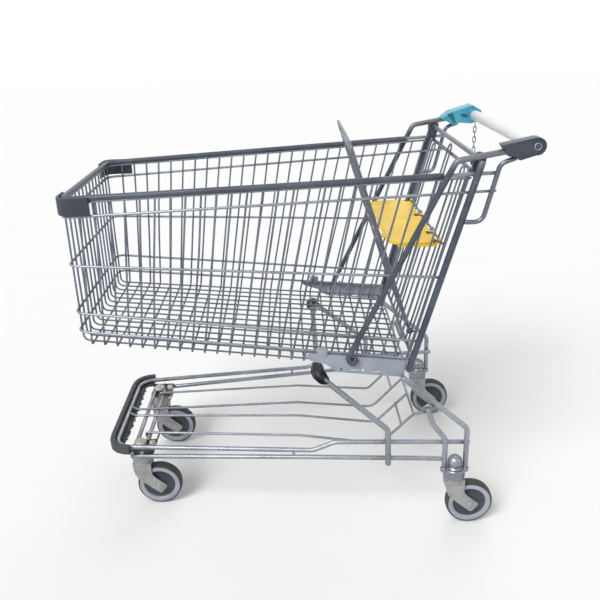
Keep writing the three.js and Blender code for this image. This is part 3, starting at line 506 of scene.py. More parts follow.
def softenedCopy(node, name, width, segments=3):
    piece = placed(name, nodes[node].data.copy())
    piece.data.materials.clear()
    openAll(piece)
    bpy.ops.mesh.remove_doubles(threshold=0.00001)
    bpy.ops.mesh.dissolve_limited(angle_limit=math.radians(1.5))
    bpy.ops.object.mode_set(mode="OBJECT")
    return rounded(piece, width, segments)


def standPlate(name, outline, low, high, width):
    mesh = bpy.data.meshes.new(name)
    corners = [(Vector((x, low, z)) + origin) * mm for x, z in outline]
    mesh.from_pydata(corners, [], [list(range(len(corners)))])
    piece = placed(name, mesh)
    openAll(piece)
    bpy.ops.mesh.extrude_region_move(TRANSFORM_OT_translate={"value": (0, (high - low) * mm, 0)})
    closeOutward()
    return rounded(piece, width, 2) if width else piece


def box(name, low, high, width):
    outline = [(low[0], low[2]), (high[0], low[2]), (high[0], high[2]), (low[0], high[2])]
    return standPlate(name, outline, low[1], high[1], width)


def cutOut(piece, tools):
    for tool in tools:
        pickOnly(piece)
        cutter = piece.modifiers.new("cut", "BOOLEAN")
        cutter.object = tool
        cutter.operation = "DIFFERENCE"
        bpy.ops.object.modifier_apply(modifier=cutter.name)
        bpy.data.objects.remove(tool)


def joined(name, pieces):
    pickOnly(pieces[0])
    for piece in pieces[1:]:
        piece.select_set(True)
    bpy.ops.object.join()
    pieces[0].name = name
    return pieces[0]


def copyAt(piece, shift):
    twin = placed(piece.name, piece.data.copy())
    twin.data.transform(Matrix.Translation(Vector(shift) * mm))
    return twin


def mirrored(piece, name):
    twin = placed(name, piece.data.copy())
    twin.data.transform(Matrix.Scale(-1, 4, (0, 1, 0)))
    twin.data.flip_normals()
    return twin


def settle(piece, finish, *replaced, body="frame"):
    piece.data.materials.clear()
    piece.data.materials.append(finishes[finish])
    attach(piece, body)
    if replaced:
        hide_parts(*replaced)
    return piece


# lock chain: links on a straight hang, with its key at the end
chain = {
    "x": 528, "y": 255, "top": 976, "length": 106, "wire": 1.3, "linkLength": 19.5, "linkWidth": 10.6,
    "linkPoints": 16, "linkTurn": (0.25, 0.97), "pitch": 14.4, "topLap": 1.5,
    "keyHead": (11, 17, 19), "keyShoulder": 4, "keyNeck": 2, "tongue": (2.6, 10, 44), "tongueTip": 3,
}


def chainLink(index, middle):
    half = chain["linkWidth"] / 2 - chain["wire"]
    straight = chain["linkLength"] / 2 - chain["wire"] - half
    turnX, turnY = chain["linkTurn"]
    loop = []
    for turn in turns(chain["linkPoints"], 0.5):
        rise = half * math.sin(turn) + math.copysign(straight, math.sin(turn))
        out = half * math.cos(turn)
        across = (out, 0) if index % 2 else (turnX * out, turnY * out)
        loop.append(Vector((chain["x"] + across[0], chain["y"] + across[1], middle + rise)))
    return drawTubes("link", [loop], chain["wire"], 8, True)


def hangChain():
    x, y, top, length = (chain[key] for key in ("x", "y", "top", "length"))
    first = top - chain["linkLength"] / 2 + chain["topLap"]
    count = int(length / chain["pitch"])
    links = [chainLink(index, first - index * chain["pitch"]) for index in range(count)]
    piece = settle(joined("lockChainLinks", links), "chainSteel", "lock_chain")
    low = top - length
    deep, wide, tall = chain["keyHead"]
    half, neck, foot, shoulder = deep / 2, chain["keyNeck"], low - tall, low - chain["keyShoulder"]
    body = standPlate("keyHead", [
        (x - half, foot), (x + half, foot), (x + half, shoulder), (x + neck, low), (x - neck, low),
        (x - half, shoulder),
    ], y - wide / 2, y + wide / 2, 2)
    half, wide, reach = chain["tongue"]
    tip, taper = low - reach, low - reach + chain["tongueTip"]
    blade = standPlate("keyBlade", [
        (x - half, foot + 1), (x + half, foot + 1), (x + half, taper), (x, tip), (x - half, taper),
    ], y - wide / 2, y + wide / 2, 0.6)
    settle(body, "blackPlastic", "chain_key")
    settle(blade, "zinc")


hangChain()
print("chain hung")


# basket: bent wires under a coated rail
basket = {
    "front": -540, "rear": 419, "railFront": (227, 894), "railRear": (273, 935), "railRadius": 7,
    "railBend": 30, "sleeveEnd": 330, "rodRadius": 4.5, "rodPlaces": (318, 380, 449), "bumperEdge": 2.4,
    "wire": 2.5, "ring": 3.25, "weld": 0.5, "topDrop": 8.8, "floorLift": 4.6, "wallFront": 230,
    "wallRear": 269, "flare": 0.025, "wallMiddle": 700, "ringFronts": (852, 735, 614, 565),
    "ringRears": ((447, 896), (338, 690), (285, 524), (270, 476)), "ringBend": 24, "sideTops": (-499, 385),
    "sideBottoms": (-517, 253), "sideCount": 26, "sideBend": 9, "sideBow": 1.6, "sideKink": (0.35, 0.65),
    "sideLean": (-0.8, 0.3), "frontHalf": 210, "frontCount": 14, "frontBend": 16, "frontBow": 1.2,
    "frontBowHeight": 690, "floorFront": 529, "floorRear": (262, 443), "floorRearGap": 14, "rim": 2.9,
    "rimEnd": 391, "rimBend": 26,
}


def along(x):
    return (x - basket["front"]) / (basket["rear"] - basket["front"])


def railHalf(x):
    return mix(basket["railFront"][0], basket["railRear"][0], along(x))


def railHeight(x):
    return mix(basket["railFront"][1], basket["railRear"][1], along(x))


def wallHalf(x, z):
    rearHalf = basket["wallRear"] + (z - basket["wallMiddle"]) * basket["flare"]
    return mix(basket["wallFront"], rearHalf, along(x))


def floorHeight(x):
    rearX, rearZ = basket["floorRear"]
    return mix(basket["floorFront"], rearZ, (x - basket["front"]) / (rearX - basket["front"]))


wireInset = basket["wire"] + basket["ring"] - basket["weld"]
ringFront = basket["front"] - wireInset


def uprightRoute(share):  # down the left wall, under the floor and up the right wall
    topX = mix(*basket["sideTops"], share)
    lowX = mix(*basket["sideBottoms"], share)
    topZ = railHeight(topX) - basket["topDrop"]
    lowZ = floorHeight(lowX)
    topY = wallHalf(topX, topZ) - wireInset
    lowY = wallHalf(lowX, lowZ) - wireInset
    half = []
    for side in (-1, 1):
        bow = random.gauss(0, basket["sideBow"])
        kink = random.uniform(*basket["sideKink"])
        lean = random.uniform(*basket["sideLean"])
        bowed = (mix(topX, lowX, kink) + bow, mix(topY, lowY, kink) + lean, mix(topZ, lowZ, kink))
        half.append(sided([(topX, topY, topZ), bowed, (lowX, lowY, lowZ)], side))
    return bendRoute(half[0] + half[1][::-1], basket["sideBend"], 4)


def weaveBasket():
    wires = [uprightRoute(i / (basket["sideCount"] - 1)) for i in range(basket["sideCount"])]
    uprights = drawTubes("basketUprights", wires, basket["wire"], 8)
    settle(uprights, "shadedZinc", "side_panel_left", "side_panel_right")
    front, (corner, railZ) = basket["front"], basket["railFront"]
    rearX, rearZ = basket["floorRear"]
    top, lift = railZ - basket["topDrop"], basket["floorLift"]
    longs = []
    for i in range(basket["frontCount"]):
        y = mix(-basket["frontHalf"], basket["frontHalf"], i / (basket["frontCount"] - 1))
        bow = random.gauss(0, basket["frontBow"])
        longs.append(bendRoute([
            (front, y, top), (front, y + bow, basket["frontBowHeight"]),
            (front, y, basket["floorFront"] + lift),
            (rearX, y * basket["wallRear"] / basket["wallFront"], rearZ + lift),
        ], basket["frontBend"], 5))
    settle(drawTubes("basketLongWires", longs, basket["wire"], 8), "shadedZinc", "front_panel", "floor_panel")
    rings = []
    for frontZ, (backX, backZ) in zip(basket["ringFronts"], basket["ringRears"]):
        line = [(backX, wallHalf(backX, backZ), backZ), (ringFront, wallHalf(ringFront, frontZ), frontZ)]
        rings.append(bendRoute(acrossBoth(line), basket["ringBend"], 6))
    settle(drawTubes("basketRings", rings, basket["ring"], 10), "zinc")
    endX = basket["rimEnd"]
    endZ = railHeight(endX) - basket["topDrop"]
    line = [(endX, wallHalf(endX, endZ) - wireInset, endZ), (front, corner, top)]
    rim = bendRoute(acrossBoth(line), basket["rimBend"], 6)
    sill = acrossBoth([(rearX, wallHalf(rearX, rearZ) - basket["floorRearGap"], rearZ + lift)])
    settle(drawTubes("basketRim", [rim, sill], basket["rim"], 8), "zinc")


def layRail():
    end = basket["sleeveEnd"]
    line = [(end, railHalf(end), railHeight(end)), (basket["front"], *basket["railFront"])]
    route = bendRoute(acrossBoth(line), basket["railBend"], 8)
    settle(drawTubes("topRailTube", [route], basket["railRadius"], 20), "slateCoat", "top_rail")
    line = [(x, railHalf(x), railHeight(x)) for x in basket["rodPlaces"]]
    rods = [sided(line, side) for side in (-1, 1)]
    settle(drawTubes("topRailRods", rods, basket["rodRadius"], 14), "zinc")


weaveBasket()
layRail()
for name in sides:
    bumper = softenedCopy(f"bumper_{name}", f"cornerBumper_{name}", basket["bumperEdge"], 4)
    settle(bumper, "slatePlastic", f"bumper_{name}")
print("basket woven")


# rear frame tubes
rear = {
    "postTop": (406, 953), "postBottom": (265, 446), "postEnd": 966, "postMiddle": 700, "postRadius": 8,
    "postSet": 0.6, "tubeHalf": 287, "tubeRadius": 7, "tubeEnd": 466, "tubeCorner": (352, 967),
    "tubeBend": 20, "hook": (125.5, 488), "hookHalf": 273.3, "hookRadius": 11.5, "loopHalf": 285.2,
    "loopRadius": 5.5, "loop": ((484, 970), (449, 958), (417, 828)), "loopSet": 2, "loopBend": 22,
    "handle": (522.5, 995), "barX": 408, "barZ": 966, "barRadius": 6, "barEnd": 265, "bearingEdge": 1.5,
}


def postX(z):
    (topX, topZ), (lowX, lowZ) = rear["postTop"], rear["postBottom"]
    return mix(lowX, topX, (z - lowZ) / (topZ - lowZ))


def postHalf(z):
    return wallHalf(postX(z), z) + basket["ring"] + rear["postRadius"] - rear["postSet"]


def raiseRear(name, side):
    heights = (rear["postEnd"], rear["postMiddle"], rear["postBottom"][1])
    post = sided([(postX(z), postHalf(z), z) for z in heights], side)
    tube = drawTubes(f"cornerPostTube_{name}", [post], rear["postRadius"], 20)
    settle(tube, "slateSteel", f"corner_post_{name}")
    (cornerX, cornerZ), (handleX, handleZ), (hookX, hookZ) = rear["tubeCorner"], rear["handle"], rear["hook"]
    slope = (handleZ - cornerZ) / (handleX - cornerX)
    end, outer, inner, reach = rear["tubeEnd"], rear["tubeHalf"], rear["hookHalf"], rear["hookRadius"]
    handle = bendRoute(sided([
        (end, outer, cornerZ + slope * (end - cornerX)), (cornerX, outer, cornerZ),
        (hookX - reach, inner, hookZ), (hookX, inner, hookZ - 1.5 * reach), (hookX + reach, inner, hookZ),
    ], side), rear["tubeBend"], 8)
    tube = drawTubes(f"handleTubeBent_{name}", [handle], rear["tubeRadius"], 18)
    settle(tube, "slateSteel", f"handle_tube_{name}")
    lowZ = rear["loop"][-1][1]
    line = [*rear["loop"], (postX(lowZ) + rear["postRadius"] - rear["loopSet"], lowZ)]
    loop = bendRoute(sided([(x, rear["loopHalf"], z) for x, z in line], side), rear["loopBend"], 7)
    tube = drawTubes(f"loopTubeBent_{name}", [loop], rear["loopRadius"], 16)
    settle(tube, "shadedZinc", f"loop_tube_{name}")


for name, side in sides.items():
    raiseRear(name, side)
    bearing = softenedCopy(f"bearing_{name}", f"bearingBlock_{name}", rear["bearingEdge"])
    settle(bearing, "slatePlastic", f"bearing_{name}")
bar = acrossBoth([(rear["barX"], rear["barEnd"], rear["barZ"])])
settle(drawTubes("hingeBarTube", [bar], rear["barRadius"], 16), "shadedZinc", "hinge_bar")
print("rear frame raised")


# handle: grip, end cap and lock
grip = {
    "radius": 14, "bore": 10.3, "left": -267.7, "right": 245.7, "edge": 1, "edgeRun": 1.5,
    "capEdge": 3, "lockEdge": 5,
}


def fitHandle():
    x, z = rear["handle"]
    left, right, bore, radius = grip["left"], grip["right"], grip["bore"], grip["radius"]
    face, run = radius - grip["edge"], grip["edgeRun"]
    profile = [(bore, left), (face, left), (radius, left + run), (radius, 0), (radius, right - run),
               (face, right), (bore, right)]
    settle(spinProfile("gripSleeve", profile, (x, 0, z), "Y", 48, True), "whitePlastic", "handle_grip")
    settle(softenedCopy("end_cap", "endCapShell", grip["capEdge"], 4), "slatePlastic", "end_cap")
    settle(softenedCopy("coin_lock", "lockHousing", grip["lockEdge"], 5), "tealPlastic", "coin_lock")


fitHandle()
print("handle fitted")


# rear flap: a frame with hairpins, hung on its axle
flap = {
    "axle": (404, 932), "axleRadius": 4.5, "bottom": (274, 482), "half": 222, "frameRadius": 4, "wire": 2.5,
    "leg": 30, "rise": 24, "sideHairpin": 172, "lowHairpin": (86, 50), "sag": 1.2, "sagShare": 0.45,
    "offset": 7.9, "end": 265, "overAxle": 8, "underFoot": 4, "pivotZ": 530, "pivotOut": 12, "seatZ": 758,
    "hingeRadius": 3, "hingeOut": 5.8, "eyeHalf": 210, "eye": 6.8, "eyeWire": 2.2, "eyePoints": 14,
    "lug": 7,
}
flapLean = (flap["axle"][0] - flap["offset"] - flap["bottom"][0]) / (flap["axle"][1] - flap["bottom"][1])


def flapX(z):
    return flap["bottom"][0] + flapLean * (z - flap["bottom"][1])


pivotX, pivotZ = flapX(flap["pivotZ"]) - flap["pivotOut"], flap["pivotZ"]
hingeX = flapX(flap["seatZ"]) - flap["hingeOut"] * math.cos(math.atan(flapLean))
hingeZ = flap["seatZ"] + flap["hingeOut"] * math.sin(math.atan(flapLean))


def hangFlap():
    axleX, axleZ = flap["axle"]
    lowX, lowZ = flap["bottom"]
    half, headZ, footZ = flap["half"], axleZ + flap["overAxle"], lowZ - flap["underFoot"]
    rods = []
    for side in (-1, 1):
        rods.append(sided([(flapX(headZ), half, headZ), (lowX, half, footZ)], side))
        rods.append(sided([(flapX(axleZ), half, axleZ), (axleX, half, axleZ)], side))
    rods.append(acrossBoth([(lowX, half, lowZ)]))
    lowY, lowWide = flap["lowHairpin"]
    hairpins = [(0, flap["leg"], axleZ + flap["rise"])]
    for side in (-1, 1):
        hairpins.append((side * flap["sideHairpin"], flap["leg"], axleZ))
        hairpins.append((side * lowY, lowWide, flap["seatZ"]))
    pins = []
    for y, wide, topZ in hairpins:
        left, right, topX = y - wide / 2, y + wide / 2, flapX(topZ)
        sag = random.gauss(0, flap["sag"])
        middleZ = mix(lowZ, topZ, flap["sagShare"])
        pins.append(bendRoute([
            (lowX, left, lowZ), (flapX(middleZ), left + sag, middleZ), (topX, left, topZ),
            (topX, right, topZ), (lowX, right, lowZ)], flap["leg"] / 2, 6))
    eyes = []
    for side in (-1, 1):
        ring = []
        for turn in turns(flap["eyePoints"]):
            x, z = pivotX + flap["eye"] * math.cos(turn), pivotZ + flap["eye"] * math.sin(turn)
            ring.append((x, flap["eyeHalf"], z))
        lug = [(pivotX + flap["lug"], flap["eyeHalf"], pivotZ), (flapX(pivotZ), half, pivotZ)]
        eyes.append(drawTubes("eye", [sided(ring, side)], flap["eyeWire"], 8, True))
        eyes.append(drawTubes("lug", [sided(lug, side)], flap["wire"], 8))
    axle, hinge = acrossBoth([(axleX, flap["end"], axleZ)]), acrossBoth([(hingeX, half, hingeZ)])
    pieces = [drawTubes("flapGrille", [axle], flap["axleRadius"], 14),
              drawTubes("rods", rods, flap["frameRadius"], 12), drawTubes("pins", pins, flap["wire"], 8),
              drawTubes("hinge", [hinge], flap["hingeRadius"], 10), *eyes]
    settle(joined("flapGrille", pieces), "shadedZinc", "rear_flap", body="flap")


hangFlap()


# backrest: a hoop with upright wires, turning at the flap's eyes
back = {
    "top": (126, 998), "half": 200, "radius": 4, "bend": 20, "rodOver": 14.5, "pitch": 40, "eachSide": 4,
    "crossDrop": 26, "wire": 2.5, "wireOut": 2.5, "bow": 1, "bowOut": 1.2,
}


def raiseBackrest():
    topX, topZ = back["top"]
    lean = math.atan2(topX - pivotX, topZ - pivotZ)
    length = math.hypot(topX - pivotX, topZ - pivotZ)

    def at(distance, y, out=0):
        return Vector((pivotX + distance * math.sin(lean) - out * math.cos(lean), y,
                       pivotZ + distance * math.cos(lean) + out * math.sin(lean)))

    half, out, rodHalf = back["half"], back["wireOut"], back["half"] + back["rodOver"]
    hoop = bendRoute([at(0, -half), at(length, -half), at(length, half), at(0, half)], back["bend"], 7)
    rod = [at(0, -rodHalf), at(0, rodHalf)]
    cross = length - back["crossDrop"]
    wires = [[at(cross, -half, out), at(cross, half, out)]]
    for i in range(-back["eachSide"], back["eachSide"] + 1):
        y = i * back["pitch"]
        bowed = at(length * 0.5, y + random.gauss(0, back["bow"]), back["bowOut"])
        wires.append([at(0, y), bowed, at(cross, y, out)])
    pieces = [drawTubes("backrestGrille", [hoop, rod], back["radius"], 12),
              drawTubes("wires", wires, back["wire"], 8)]
    settle(joined("backrestGrille", pieces), "shadedZinc", "backrest", body="backrest")


raiseBackrest()


# seat: a board with side flanges, a raised edge and dark clips on its hinge
# a clip's boxes: start and stop from the board's rear, half width, rise and edge
seat = {
    "half": 215, "depth": 128, "rear": 7.5, "top": 2, "chamfer": 22, "soften": 0.9, "flange": (2, 7),
    "flangeLead": 3, "edge": 1.2, "edgeInset": 5, "edgeStart": 12, "edgeBend": 10,
    "clips": (-204.5, -134, 38, 204.5), "clipSink": 0.8,
    "clipBoxes": ((-15, 4.5, 9, 0.7, 0.6), (-12, -8, 13, 0.5, 0.5)),
}


def fitSeat():
    rearX, frontX = hingeX - seat["rear"], hingeX - seat["depth"]
    half, chamfer, inset = seat["half"], seat["chamfer"], seat["edgeInset"]
    pieces = [softenedCopy("seat_board", "seatPanel", seat["soften"])]
    wall, drop = seat["flange"]
    low, lead, chamferX = hingeZ - seat["top"] - drop, seat["flangeLead"], frontX + chamfer
    outline = [(rearX - lead, low), (rearX, hingeZ), (chamferX, hingeZ), (chamferX + lead, low)]
    for side in (-1, 1):
        span = sorted((side * half, side * (half - wall)))
        pieces.append(standPlate("flange", outline, *span, 0.6))
    top = hingeZ + seat["top"]
    edge = acrossBoth([(rearX - seat["edgeStart"], half - inset, top), (chamferX, half - inset, top),
                       (frontX + inset, half - chamfer, top)])
    pieces.append(drawTubes("edge", [bendRoute(edge, seat["edgeBend"], 4)], seat["edge"], 8))
    settle(joined("seatPanel", pieces), "yellowPlastic", "seat_board", body="seat")
    bottom = top - seat["clipSink"]
    clips = []
    for y in seat["clips"]:
        for start, stop, wide, rise, edge in seat["clipBoxes"]:
            low, high = (rearX + start, y - wide, bottom), (rearX + stop, y + wide, top + rise)
            clips.append(box("clip", low, high, edge))
    settle(joined("seatClips", clips), "brownShade", body="seat")


fitSeat()
print("flap, backrest and seat hung")


# base frame and supports
base = {
    "tube": 6.25, "front": -510, "frontHalf": 185.5, "slope": 0.101, "height": 202, "rearHeight": 235,
    "jog": (25, 83), "jogHeights": (206, 233), "rearEnd": 431, "rearHalf": 266.7, "corner": 45,
    "lowFront": (-470, 173), "lowRear": (358, 193), "lowRearHalf": 277, "lowEnd": 360, "spacer": -27,
    "stud": 3.5, "support": 7.5, "supportSet": 0.3, "foot": (219, 176), "knee": (217, 283),
    "cross": (42, 250), "crossDrop": 33, "crossBend": 22, "sleeve": 17.5, "sleeveLead": 2, "sleeveRun": 26,
    "sleeveSkip": 3, "rib": 1.1, "ribRise": 0.9,
}


def baseHalf(x):
    return base["frontHalf"] + (x - base["front"]) * base["slope"]


def lowHalf(x):
    return baseHalf(x) if x < 0 else mix(baseHalf(0), base["lowRearHalf"], x / base["lowRear"][0])


def lowHeight(x):
    (frontX, frontZ), (rearX, rearZ) = base["lowFront"], base["lowRear"]
    return mix(frontZ, rearZ, (x - frontX) / (rearX - frontX))


def bendBase():
    (start, stop), (startZ, stopZ) = base["jog"], base["jogHeights"]
    run = [(base["rearEnd"], base["rearHalf"], base["rearHeight"]), (stop, baseHalf(stop), stopZ),
           (start, baseHalf(start), startZ), (base["front"], base["frontHalf"], base["height"])]
    loop = bendRoute(acrossBoth(run), base["corner"], 8)
    settle(drawTubes("baseLoopTube", [loop], base["tube"], 18), "zinc", "base_loop")
    low = [(x, lowHalf(x), lowHeight(x)) for x in (base["lowFront"][0], 0, base["lowEnd"])]
    x = base["spacer"]
    stud = [(x, lowHalf(x), lowHeight(x)), (x, lowHalf(x), base["height"])]
    for name, side in sides.items():
        pieces = [drawTubes(f"baseTubeRun_{name}", [sided(low, side)], base["tube"], 18),
                  drawTubes("stud", [sided(stud, side)], base["stud"], 10)]
        settle(joined(f"baseTubeRun_{name}", pieces), "zinc", f"base_tube_{name}")


def bendSupports():
    (footX, footZ), (kneeX, kneeZ), (crossX, crossHalf) = base["foot"], base["knee"], base["cross"]
    footHalf = lowHalf(footX) + base["tube"] + base["support"] - base["supportSet"]
    crossZ = floorHeight(crossX) - base["crossDrop"]
    leg = [(footX, footHalf, footZ), (kneeX, footHalf, kneeZ), (crossX, crossHalf, crossZ)]
    route = bendRoute(acrossBoth(leg), base["crossBend"], 8)
    settle(drawTubes("frontSupportTube", [route], base["support"], 18), "zinc", "front_support")
    for name, side in sides.items():
        corner = Vector((crossX, side * crossHalf, crossZ))
        near = [p for p in route if (p - corner).length < base["crossBend"] * 1.05]
        near = near[::-side][base["sleeveSkip"]:]  # from the leg towards the middle
        lead = near[0] + (near[0] - near[1]).normalized() * base["sleeveLead"]
        inward = (near[-1] - near[-2]).normalized() * base["sleeveRun"]
        line = [lead, *near, near[-1] + inward / 2, near[-1] + inward]
        pieces = [drawTubes(f"elbowSleeve_{name}", [line], base["sleeve"] - base["ribRise"], 20)]
        for before, here, after in zip(line, line[1:], line[2:]):
            out = (after - before).normalized() * base["rib"]
            pieces.append(drawTubes("rib", [[here - out, here + out]], base["sleeve"], 20))
        settle(joined(f"elbowSleeve_{name}", pieces), "blackPlastic", f"sleeve_{name}")


bendBase()
bendSupports()
print("base frame bent")


# side plates: slots, a clip tab over the ring and a clip behind the post
# nose points are from the top front corner, tail and clip points from the top rear corner,
# and spans from the plate's inner face
plate = {
    "front": 15, "rear": 256, "plane": 261.3, "thickness": 5, "lap": 0.3, "shoulder": 3, "edge": 0.8,
    "nose": ((-1, -4), (-1, -9), (2, -14), (8, -18), (46, -30), (74, -52)),
    "tail": ((-2, -45), (0, -43), (0, 0)),
    "slots": ((96, 452, 6, 9), (119, 449, 24, 5), (149, 446, 6, 9), (173, 442, 24, 5)), "slotSpan": (-4, 9),
    "tab": (39, 65), "tabRise": 16, "tabFoot": 5, "tabSpan": (-8, 6.5), "lip": (21, 242), "lipDrop": 3,
    "lipSpan": (-6, 1), "clip": ((-3, -34), (7, -24), (13, -4), (-3, -2)), "clipSpan": (-3, 2.5),
}


def plateTop(x):
    backX, backZ = basket["ringRears"][3]
    ringZ = mix(basket["ringFronts"][3], backZ, (x - ringFront) / (backX - ringFront))
    return ringZ - basket["ring"] + plate["lap"]


def pressPlates():
    front, rearX, inner = plate["front"], plate["rear"], plate["plane"]
    tip, low, shoulder = plateTop(front), plateTop(rearX), front + plate["shoulder"]
    spans = {key: [inner + reach for reach in plate[key + "Span"]] for key in ("slot", "tab", "lip", "clip")}
    outline = [(shoulder, plateTop(shoulder)), *((front + x, tip + z) for x, z in plate["nose"]),
               *((rearX + x, low + z) for x, z in plate["tail"])]
    sheet = standPlate("sidePlateShell_right", outline, inner, inner + plate["thickness"], 0)
    near, far = spans["slot"]
    cutOut(sheet, [box("slot", (x, near, z), (x + wide, far, z + tall), 0)
                   for x, z, wide, tall in plate["slots"]])
    rounded(sheet, plate["edge"], 2, 40)
    start, stop = plate["tab"]
    foot, top = plate["tabFoot"], plateTop(start) + plate["tabRise"]
    tab = standPlate("tab", [
        (start, plateTop(start) - foot), (stop, plateTop(stop) - foot), (stop, top - 4), (stop - 3, top - 1),
        (start + 3, top), (start, top - 3)], *spans["tab"], 1.8)
    start, stop = plate["lip"]
    drop = plate["lipDrop"]
    lip = standPlate("lip", [
        (start, plateTop(start)), (start, plateTop(start) - drop), (stop, plateTop(stop) - drop),
        (stop, plateTop(stop))], *spans["lip"], 0.6)
    clip = standPlate("clip", [(rearX + x, low + z) for x, z in plate["clip"]], *spans["clip"], 1)
    whole = joined("sidePlateShell_right", [sheet, tab, lip, clip])
    settle(mirrored(whole, "sidePlateShell_left"), "greyPlastic", "side_plate_left")
    settle(whole, "greyPlastic", "side_plate_right")


pressPlates()
print("side plates pressed")


# low bumper round the base loop, with a ribbed and toothed inner lip
lowBand = {
    "rear": -468, "edge": 5, "cutRun": 40, "cutHalf": 300, "cutHeights": (150, 250),
    "ribs": (4, 8.5, 13, 17.5), "rib": 2.8, "height": 193, "teeth": 26, "tooth": 2.4,
    "toothPlace": (0.2, 0.8), "toothReach": (3, 8), "toothLean": 1.5, "toothDrop": 2,
}


def frontRun(inset):
    front, half = base["front"] + inset, base["frontHalf"] - inset
    ends = half + (lowBand["rear"] - front) * base["slope"]
    line = [(lowBand["rear"], ends, lowBand["height"]), (front, half, lowBand["height"])]
    return bendRoute(acrossBoth(line), base["corner"] - inset, 8)


def fitLowBumper():
    band = softenedCopy("low_bumper", "lowBumperBand", lowBand["edge"], 4)
    cutHalf, (cutLow, cutHigh) = lowBand["cutHalf"], lowBand["cutHeights"]
    cutEnd = lowBand["rear"] + lowBand["cutRun"]
    cutOut(band, [box("rearCut", (lowBand["rear"], -cutHalf, cutLow), (cutEnd, cutHalf, cutHigh), 0)])
    settle(band, "bumperPlastic", "low_bumper")
    ribs = [frontRun(inset) for inset in lowBand["ribs"]]
    front, height = base["front"] + lowBand["ribs"][-1], lowBand["height"]
    half = base["frontHalf"] - base["corner"]
    teeth = []
    for k in range(lowBand["teeth"]):
        y = mix(-half, half, (k + random.uniform(*lowBand["toothPlace"])) / lowBand["teeth"])
        reach = random.uniform(*lowBand["toothReach"])
        tip = (front + reach, y + random.gauss(0, lowBand["toothLean"]), height - lowBand["toothDrop"])
        teeth.append([Vector((front, y, height)), Vector(tip)])
    pieces = [drawTubes("lowBumperLip", ribs, lowBand["rib"], 10),
              drawTubes("teeth", teeth, lowBand["tooth"], 8)]
    settle(joined("lowBumperLip", pieces), "bumperShade")


fitLowBumper()


# rear posts and braces on the castor housings
rearTubes = {
    "radius": 7,
    "post": ((365, 279, 167), (365, 279, 252), (331, 276, 296), (316, 274, 342)), "postBend": 34,
    "brace": ((420, 279, 167), (419, 279, 283), (249, 273.3, plateTop(plate["rear"]) - 42)), "braceBend": 24,
}
for name, side in sides.items():
    for kind in ("post", "brace"):
        line = bendRoute(sided(rearTubes[kind], side), rearTubes[kind + "Bend"], 8)
        tube = drawTubes(f"{kind}Tube_{name}", [line], rearTubes["radius"], 18)
        settle(tube, "zinc", f"rear_{kind}_{name}")
print("rear posts and braces set")


# castors: one modelled at the left front, then copied; arm and web points are from the swivel
castor = {
    "places": {"front_left": (-448, -154), "front_right": (-448, 154), "rear_left": (392.5, -279),
               "rear_right": (392.5, 279)},
    "trail": 42, "axle": 61.73, "armIn": 17.5, "armOut": 21.5, "armEdge": 1.2, "webHalf": 19,
    "webEdge": 0.8,
    "arm": ((-25, 137.7), (-24, 118), (-21.5, 103.7), (-16, 92), (-9, 82.5), (10, 66.5), (36, 44.5),
            (41, 40.6), (45.5, 39.4), (49.5, 41.2), (61.5, 55.5), (63.6, 59.5), (62.6, 63.6), (57, 69),
            (36, 87), (27.5, 97), (24.4, 107), (24.6, 117), (25.4, 126), (25, 137.7)),
    "web": ((-25, 137.7), (-24, 118), (-21, 104), (-17.5, 104), (-20, 122), (-20, 137.7)),
    "head": ((0, 139.4), (25.5, 139.4), (27, 138), (27, 129.5), (25.5, 127.8), (0, 127.8)),
    "bolt": bothEnds(((0, -25.4), (4, -25.2), (7, -24), (8.3, -21.9), (4.4, -21.7))),
    "tyre": bothEnds(((51.6, -11), (55.4, -13.4), (56.4, -14.6), (58.4, -14), (60.5, -11), (61.6, -5)),
                      (61.7, 0)),
    "rim": bothEnds(((42.2, -8), (43, -12.6), (45, -14.6), (54, -14.8), (55.6, -14), (55.2, -13),
                     (51.5, -10.8))),
    "hub": bothEnds(((5.2, -16.3), (11.5, -16.3), (13, -15), (13.6, -9.5), (17, -8), (36, -7.6),
                     (39.5, -8.6), (42.1, -10.5))),
}
castorParts = {
    "fork": ("castZinc", "fork", ["fork"]), "bolt": ("castZinc", "fork", ["wheel_bolt"]),
    "tyre": ("tyreRubber", "wheel", ["tyre"]), "rim": ("rimPlastic", "wheel", []),
    "hub": ("hubPlastic", "wheel", ["wheel"]),
}


def buildCastor(x, y):
    arm, web = ([(x + reach, z) for reach, z in castor[key]] for key in ("arm", "web"))
    arms = [standPlate("arm", arm, y + low, y + high, castor["armEdge"])
            for low, high in ((castor["armIn"], castor["armOut"]), (-castor["armOut"], -castor["armIn"]))]
    back = standPlate("web", web, y - castor["webHalf"], y + castor["webHalf"], castor["webEdge"])
    head = spinProfile("castorFork", castor["head"], (x, y, 0), "Z", 40)
    axle = (x + castor["trail"], y, castor["axle"])
    return {
        "fork": joined("castorFork", [head, *arms, back]),
        "bolt": spinProfile("castorBolt", castor["bolt"], axle, "Y", 24),
        "tyre": spinProfile("castorTyre", castor["tyre"], axle, "Y", 64, True),
        "rim": spinProfile("castorRim", castor["rim"], axle, "Y", 64, True),
        "hub": spinProfile("castorHub", castor["hub"], axle, "Y", 48, True),
    }


def setCastors():
    first = castor["places"]["front_left"]
    model = buildCastor(*first)
    for place, (x, y) in reversed(castor["places"].items()):
        for part, (finish, body, covers) in castorParts.items():
            piece = model[part]
            if place != "front_left":
                piece = copyAt(piece, (x - first[0], y - first[1], 0))
            piece.name = f"castor{part.capitalize()}_{place}"
            settle(piece, finish, *(f"{node}_{place}" for node in covers), body=f"{body}_{place}")


setCastors()


